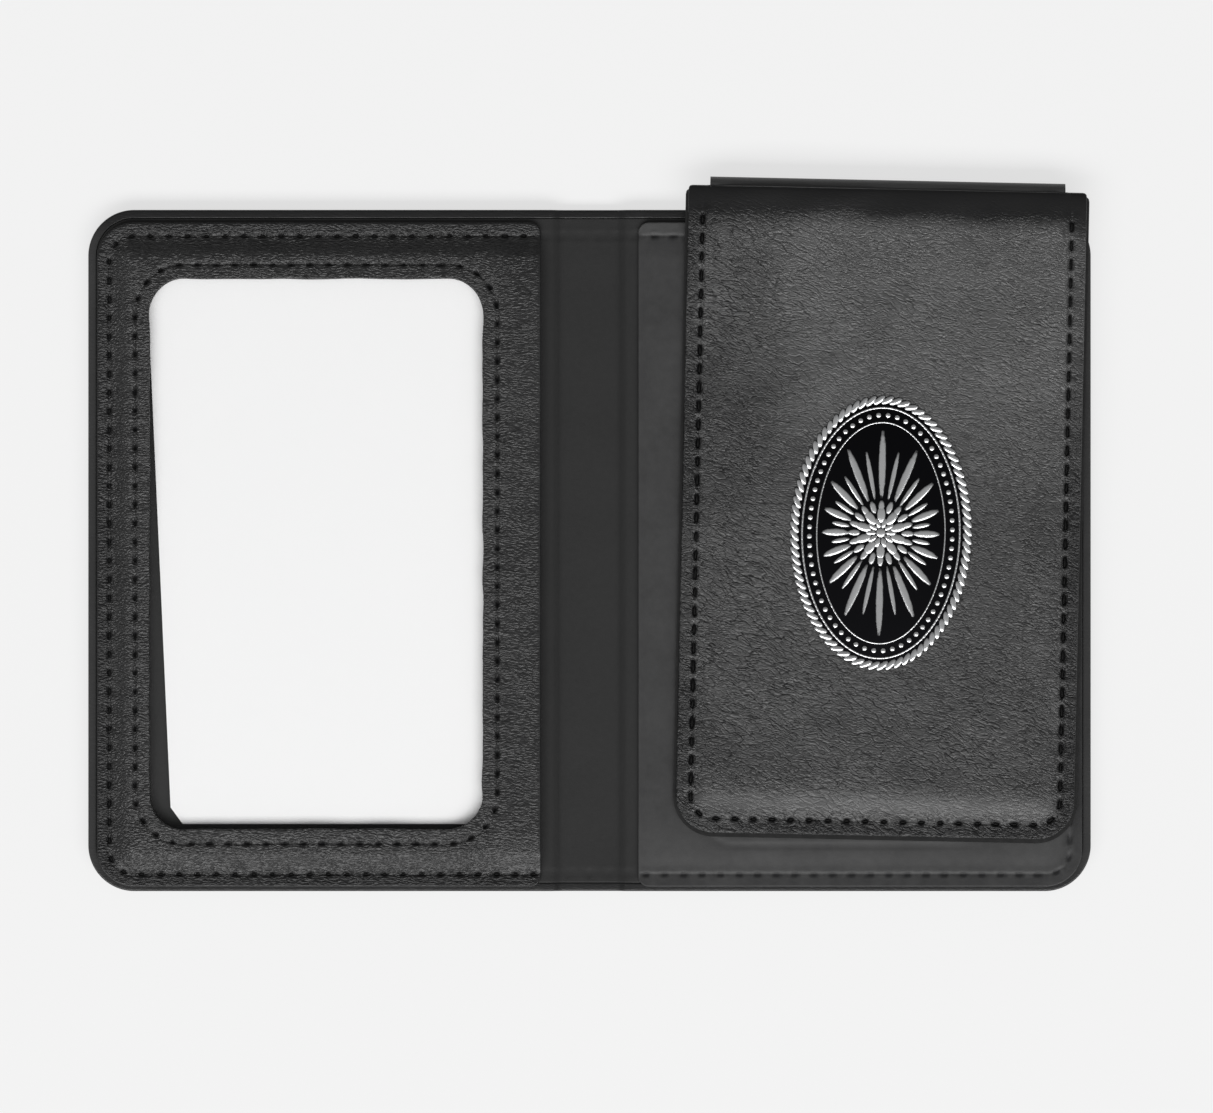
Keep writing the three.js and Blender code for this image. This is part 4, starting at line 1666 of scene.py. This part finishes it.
@dataclass
class BadgeFlap:
    """The stitched flap, its tongue and its medallion, drawn with the middle of the bend at the origin.

    Attributes:
        edge: The front leather's outline.
        backing_edge: The backing's outline.
        seam_inset: How far the seam lies inside the outline.
        roll: The length over which the leather rolls down at the top.
        tongue_half: Half the tongue's width.
        tongue_ends: How far the tongue's root and top reach from the bend.
        tongue_wear: How full the tongue's grain is, and how rubbed the tongue.
        middle: Where the middle of the bend lies on the wallet.
        skew: How far the flap is turned, in degrees.
        ripple: How the leather undulates.
    """

    edge: Edge = Edge(-29.85, 29.85, -96.7, 0.3, (5.6, 5.6, 0.6, 0.6))
    backing_edge: Edge = Edge(-30.25, 30.25, -97.3, -0.3, (6.1, 6.1, 0.7, 0.7))
    seam_inset: float = 2.2
    roll: float = 3.7
    tongue_half: float = 26.6
    tongue_ends: tuple[float, float] = (9.3, 8)
    tongue_wear: tuple[float, float] = (0.4, 0.9)
    middle: tuple[float, float] = (44.7, 53.9)
    skew: float = -1.2
    ripple: Undulation = Undulation(5, 0.14, 34, 6)

    def __post_init__(self) -> None:
        """Sets out the seam down one side, round the foot and up the other."""
        ring = self.edge.line(self.seam_inset)
        corner = len(ring) // 4
        high = self.edge.top - self.roll
        left = np.array([[self.edge.left + self.seam_inset, high]])
        right = np.array([[self.edge.right - self.seam_inset, high]])
        line = np.vstack([left, ring[: 2 * corner], right])
        self.seam = Seam(line, shown=1.6, shown_across=0.85, sunk=0.24)
        self.sewn = Edge(self.edge.left, self.edge.right, self.edge.bottom, 20, self.edge.radii)
        turn = Matrix.Rotation(math.radians(self.skew), 4, "Z")
        self.place = Matrix.Translation((*self.middle, 0)) @ turn

    def top(self, x: Array, y: Array) -> Array:
        """The front leather, which rolls down over the top edge.

        Args:
            x: The places across.
            y: The places up.

        Returns:
            The heights of its upper face.
        """
        depth = self.sewn.depth(x, y)
        lifted = 1 - (1 - np.clip((depth - 2.3) / 5.4, 0, 1)) ** 2.4
        level = FLAP_MIDDLE + LEATHER + FLAP_RISE * lifted
        # The medallion holds the leather flat.
        from_medal = np.hypot(x / Medallion.half_width, (y - Medallion.middle) / Medallion.half_height)
        level += self.ripple(x, y) * lifted * smooth_step(from_medal, 1.02, 1.4)
        level -= self.seam.draw_in(x, y, 0.4) + 0.12 * bump(depth, self.seam_inset, 0.8)
        # Over the roll the leather follows most of a quarter of an ellipse.
        along = np.clip((y - self.edge.top) / self.roll + 1, 0, 1)
        level -= 0.48 * (1 - np.sqrt(1 - 0.98 * along**2))
        return level - rounding(self.edge.depth(x, y), 0.26)

    def under(self, x: Array, y: Array) -> Array:
        """The lower face of the front leather, over the board."""
        return FLAP_MIDDLE + 0.02 + FLAP_RISE * smooth_step(self.sewn.depth(x, y), 2.65, 3.15)

    def backing_under(self, x: Array, y: Array) -> Array:
        """The lower face of the backing, drawn in by the seam."""
        drawn = np.maximum(self.seam.draw_in(x, y, 0.25), 0)
        return FLAP_BOTTOM + rounding(self.backing_edge.depth(x, y), 0.2) + drawn

    def wear_and_light(self, x: Array, y: Array) -> tuple[Array, Array]:
        """Smooth where it rolls over the top, with painted shade there; polish just above the foot's seam,
        with a painted highlight.

        Args:
            x: The places across.
            y: The places up.

        Returns:
            How full the grain is, and how rubbed the leather, with the light and shade painted on it.
        """
        roll_start = self.edge.top - self.roll
        rolled = smooth_step(y, roll_start - 3.6, roll_start + 1.4)
        polish_and_highlight = bump(y - self.edge.bottom, 4.6, 2.0) * smooth_step(self.edge.depth(x, y), 2.2, 4)
        margin = 1 - smooth_step(self.sewn.depth(x, y), 1.6, 2.6)
        pits, puckers = self.seam.pits(x, y)
        grain = (1 - 0.93 * rolled) * (1 - 0.7 * polish_and_highlight) * (1 - 0.2 * margin) * (1 - pits)
        grain *= (1 + 0.9 * puckers) * (1 + 0.3 * bump(y, -15, 10))
        # Painted light and shade: the upper right is painted lighter than the left side and the foot.
        painted_light_side = smooth_step(x, -25, -8)
        high, low = smooth_step(y, -52, -22), smooth_step(-y, 55, 75)
        rub_and_light = 0.28 - 0.22 * (1 - painted_light_side) * (1 - margin) + painted_light_side * (0.42 * high - 0.1 * low)
        # A painted highlight just above the foot's seam; painted shade on the margin and in the needle
        # holes.
        rub_and_light += 0.72 * polish_and_highlight - 0.35 * margin - 0.6 * pits
        # Painted shade over the roll.
        return grain, rub_and_light * (1 - rolled)

    def tongue(self, low: float, high: float) -> BMesh:
        """A length of the tongue, bent round a line along X.

        Args:
            low: Where it starts along the strip, from the start of the bend.
            high: Where it ends.

        Returns:
            The strip's mesh.
        """
        radius = (TONGUE_HIGH - TONGUE_LOW) / 2
        xs = lattice_lines({-self.tongue_half, self.tongue_half}, set(), 1.2)
        strip = lattice(xs, np.linspace(low, high, max(10, round((high - low) / 0.22))))
        bmesh.ops.solidify(strip, geom=strip.faces[:], thickness=1)
        levels = [vertex.co.z for vertex in strip.verts]
        middle = (min(levels) + max(levels)) / 2
        grain, rub_and_light = (strip.verts.layers.float.new(name) for name in (GRAIN, RUB_AND_LIGHT))
        for vertex in strip.verts:
            x, along, side = vertex.co
            inner = TONGUE_THICKNESS / 2 * (1 if side > middle else -1)
            angle = min(max(along / radius, 0), math.pi)
            straight = along if along < 0 else min(math.pi * radius - along, 0)
            y = straight + (radius - inner) * math.sin(angle)
            vertex.co = (x, y, (TONGUE_LOW + TONGUE_HIGH) / 2 - (radius - inner) * math.cos(angle))
            vertex[grain], vertex[rub_and_light] = self.tongue_wear
        bmesh.ops.recalc_face_normals(strip, faces=strip.faces[:])
        return strip

    def build_tongue(self) -> None:
        """Makes the tongue in two lengths, which meet in the middle of its bend."""
        radius = (TONGUE_HIGH - TONGUE_LOW) / 2
        bend = math.pi * radius
        root_end, top_end = self.tongue_ends
        shape = self.tongue(-root_end, bend / 2)
        root = finished("tongue_root_half", shape, [SATIN_LEATHER], self.place)
        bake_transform(root)
        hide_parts("tongue_root", "tongue_bend")
        shape = self.tongue(bend / 2, bend + top_end)
        head = finished("tongue_flap_half", shape, [SATIN_LEATHER], self.place)
        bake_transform(head)
        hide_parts("tongue_top", "tongue_bend")

    def build(self) -> None:
        """Makes the flap's leather, tongue, thread and medallion."""
        shape = Sheet(self.edge, self.top, self.under, seam_inset=self.seam_inset, wear_and_light=self.wear_and_light).shape()
        front = finished("flap_leather", shape, [CREASED_LEATHER, EDGE_BLACK], self.place)
        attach(front, "flap")
        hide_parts("flap_front")

        level = level_at(FLAP_MIDDLE)
        shape = Sheet(self.backing_edge, level, self.backing_under, pitch=0.55, painted=1.0).shape()
        backing = finished("flap_backing_leather", shape, [SATIN_LEATHER, EDGE_BLACK], self.place)
        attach(backing, "flap")
        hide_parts("flap_backing")

        crown = level_at(FLAP_MIDDLE + LEATHER - self.seam.sunk)
        rows = [(self.seam, crown, 1), (self.seam, level_at(FLAP_BOTTOM + 0.1), -1)]
        thread = finished("flap_thread", stitches(rows), [BLACK_THREAD], self.place)
        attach(thread, "flap")
        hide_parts("seam_flap")

        self.build_tongue()
        dress("flap_board", GREY_BOARD)
        medal = finished("struck_medallion", Medallion().shape(), [SILVER_METAL], self.place, crease=50)
        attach(medal, "flap")
        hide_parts("medallion")


def dress(node: str, finish: Material) -> None:
    """Gives a node of the model its finish."""
    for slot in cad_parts[node].material_slots:
        slot.material = finish


@dataclass
class Studio:
    """The table, the light and the camera, which looks straight down as the photograph does.

    Attributes:
        table: The table's colour.
        lit_share: How much of the table's plain colour the camera sees in place of its lit one.
        table_half: Half the table's width, in millimetres.
        view_width: The width of the view on the lining, in millimetres.
        middle: The place at the middle of the view, in millimetres.
        lens: The focal length, in millimetres.
        sensor: The sensor's width, in millimetres.
        ambient: The strength of the room's light.
        dimmed: How much weaker it is on the side that the lamp doesn't stand on.
        dims_from: Where that side starts and is fully dimmed, as the Y of a direction.
        lamp_size: The lamp's length and width, in metres.
        lamp_reach: How far off it hangs, in metres.
        lamp_height: How high it stands over the wallet's foot, in degrees.
        lamp_power: Its power, in watts.
    """

    table: str = "#f2f2f2"
    lit_share: float = 0.78
    table_half: float = 2500
    view_width: float = 181.95
    middle: tuple[float, float] = (2.55, -0.9)
    lens: float = 300.0
    sensor: float = 36
    ambient: float = 0.32
    dimmed: float = 0.45
    dims_from: tuple[float, float] = (0.1, 0.8)
    lamp_size: tuple[float, float] = (6.0, 1.3)
    lamp_reach: float = 3.0
    lamp_height: float = 47.0
    lamp_power: float = 142.0

    def paper(self) -> Material:
        """Matt paper, which keeps the wallet's shadow pale.

        Returns:
            The table's material.
        """
        material, tree, surface = blank_material("table_paper_matt")
        white = linear(self.table)
        lit = add_node(tree, "BsdfDiffuse", {"Color": white})
        plain = add_node(tree, "Emission", {"Color": white, "Strength": 1.0})
        # The camera sees the plain colour, and so do a gloss and a clear sheet.
        rays = add_node(tree, "LightPath", {}).node.outputs
        seen = add_node(
            tree, "Math", (rays["Is Glossy Ray"], rays["Is Transmission Ray"]), operation="MAXIMUM"
        )
        seen = add_node(tree, "Math", (rays["Is Camera Ray"], seen), operation="MAXIMUM")
        share = add_node(tree, "Math", (seen, self.lit_share), operation="MULTIPLY")
        tree.links.new(add_node(tree, "MixShader", (share, lit, plain)), surface)
        return material

    def light_the_room(self) -> None:
        """Sets the world, and hangs the lamp."""
        world = bpy.data.worlds.new("soft_room")
        bpy.context.scene.world = world
        world.use_nodes = True
        tree = world.node_tree
        tree.nodes.clear()
        away = add_node(tree, "SeparateXYZ", (add_node(tree, "TexCoord", {}, "Generated"),), "Y")
        start, end = self.dims_from
        far = self.ambient * (1 - self.dimmed)
        dims = {"Value": away, "From Min": start, "From Max": end, "To Min": self.ambient, "To Max": far}
        strength = add_node(tree, "MapRange", dims, interpolation_type="SMOOTHSTEP")
        soft = add_node(tree, "Background", {"Color": (1, 1, 1, 1), "Strength": strength})
        tree.links.new(soft, tree.nodes.new("ShaderNodeOutputWorld").inputs["Surface"])

        lamp = bpy.data.lights.new("long_lamp", "AREA")
        lamp.shape = "RECTANGLE"
        lamp.size, lamp.size_y = self.lamp_size
        lamp.energy = self.lamp_power
        height = math.radians(self.lamp_height)
        hung = bpy.data.objects.new("long_lamp", lamp)
        hung.location = self.lamp_reach * Vector((0, -math.cos(height), math.sin(height)))
        hung.rotation_euler = (-hung.location).to_track_quat("-Z", "Y").to_euler()
        bpy.context.scene.collection.objects.link(hung)

    def build(self) -> None:
        """Sets the table, the light and the camera."""
        scene = bpy.context.scene
        scene.view_settings.view_transform = "Standard"
        top = bmesh.new()
        bmesh.ops.create_grid(top, x_segments=1, y_segments=1, size=self.table_half)
        bmesh.ops.translate(top, vec=(0, 0, -0.05), verts=top.verts[:])
        finished("table", top, [self.paper()])
        self.light_the_room()

        camera = bpy.data.cameras.new("camera")
        camera.lens = self.lens
        camera.sensor_width = self.sensor
        camera.clip_end = 20
        seat = bpy.data.objects.new("camera", camera)
        distance = self.lens / self.sensor * self.view_width
        seat.location = Vector((*self.middle, LINING_TOP + distance)) * MM
        scene.collection.objects.link(seat)
        scene.camera = seat


def main() -> None:
    """Builds the wallet's looks and its studio."""
    logging.basicConfig(level=logging.INFO, format="%(message)s")
    Studio().build()
    for side in Side:
        Case(side).build()
    WindowPocket().build()
    SlipPocket().build()
    BadgeFlap().build()


if __name__ == "__main__":
    main()
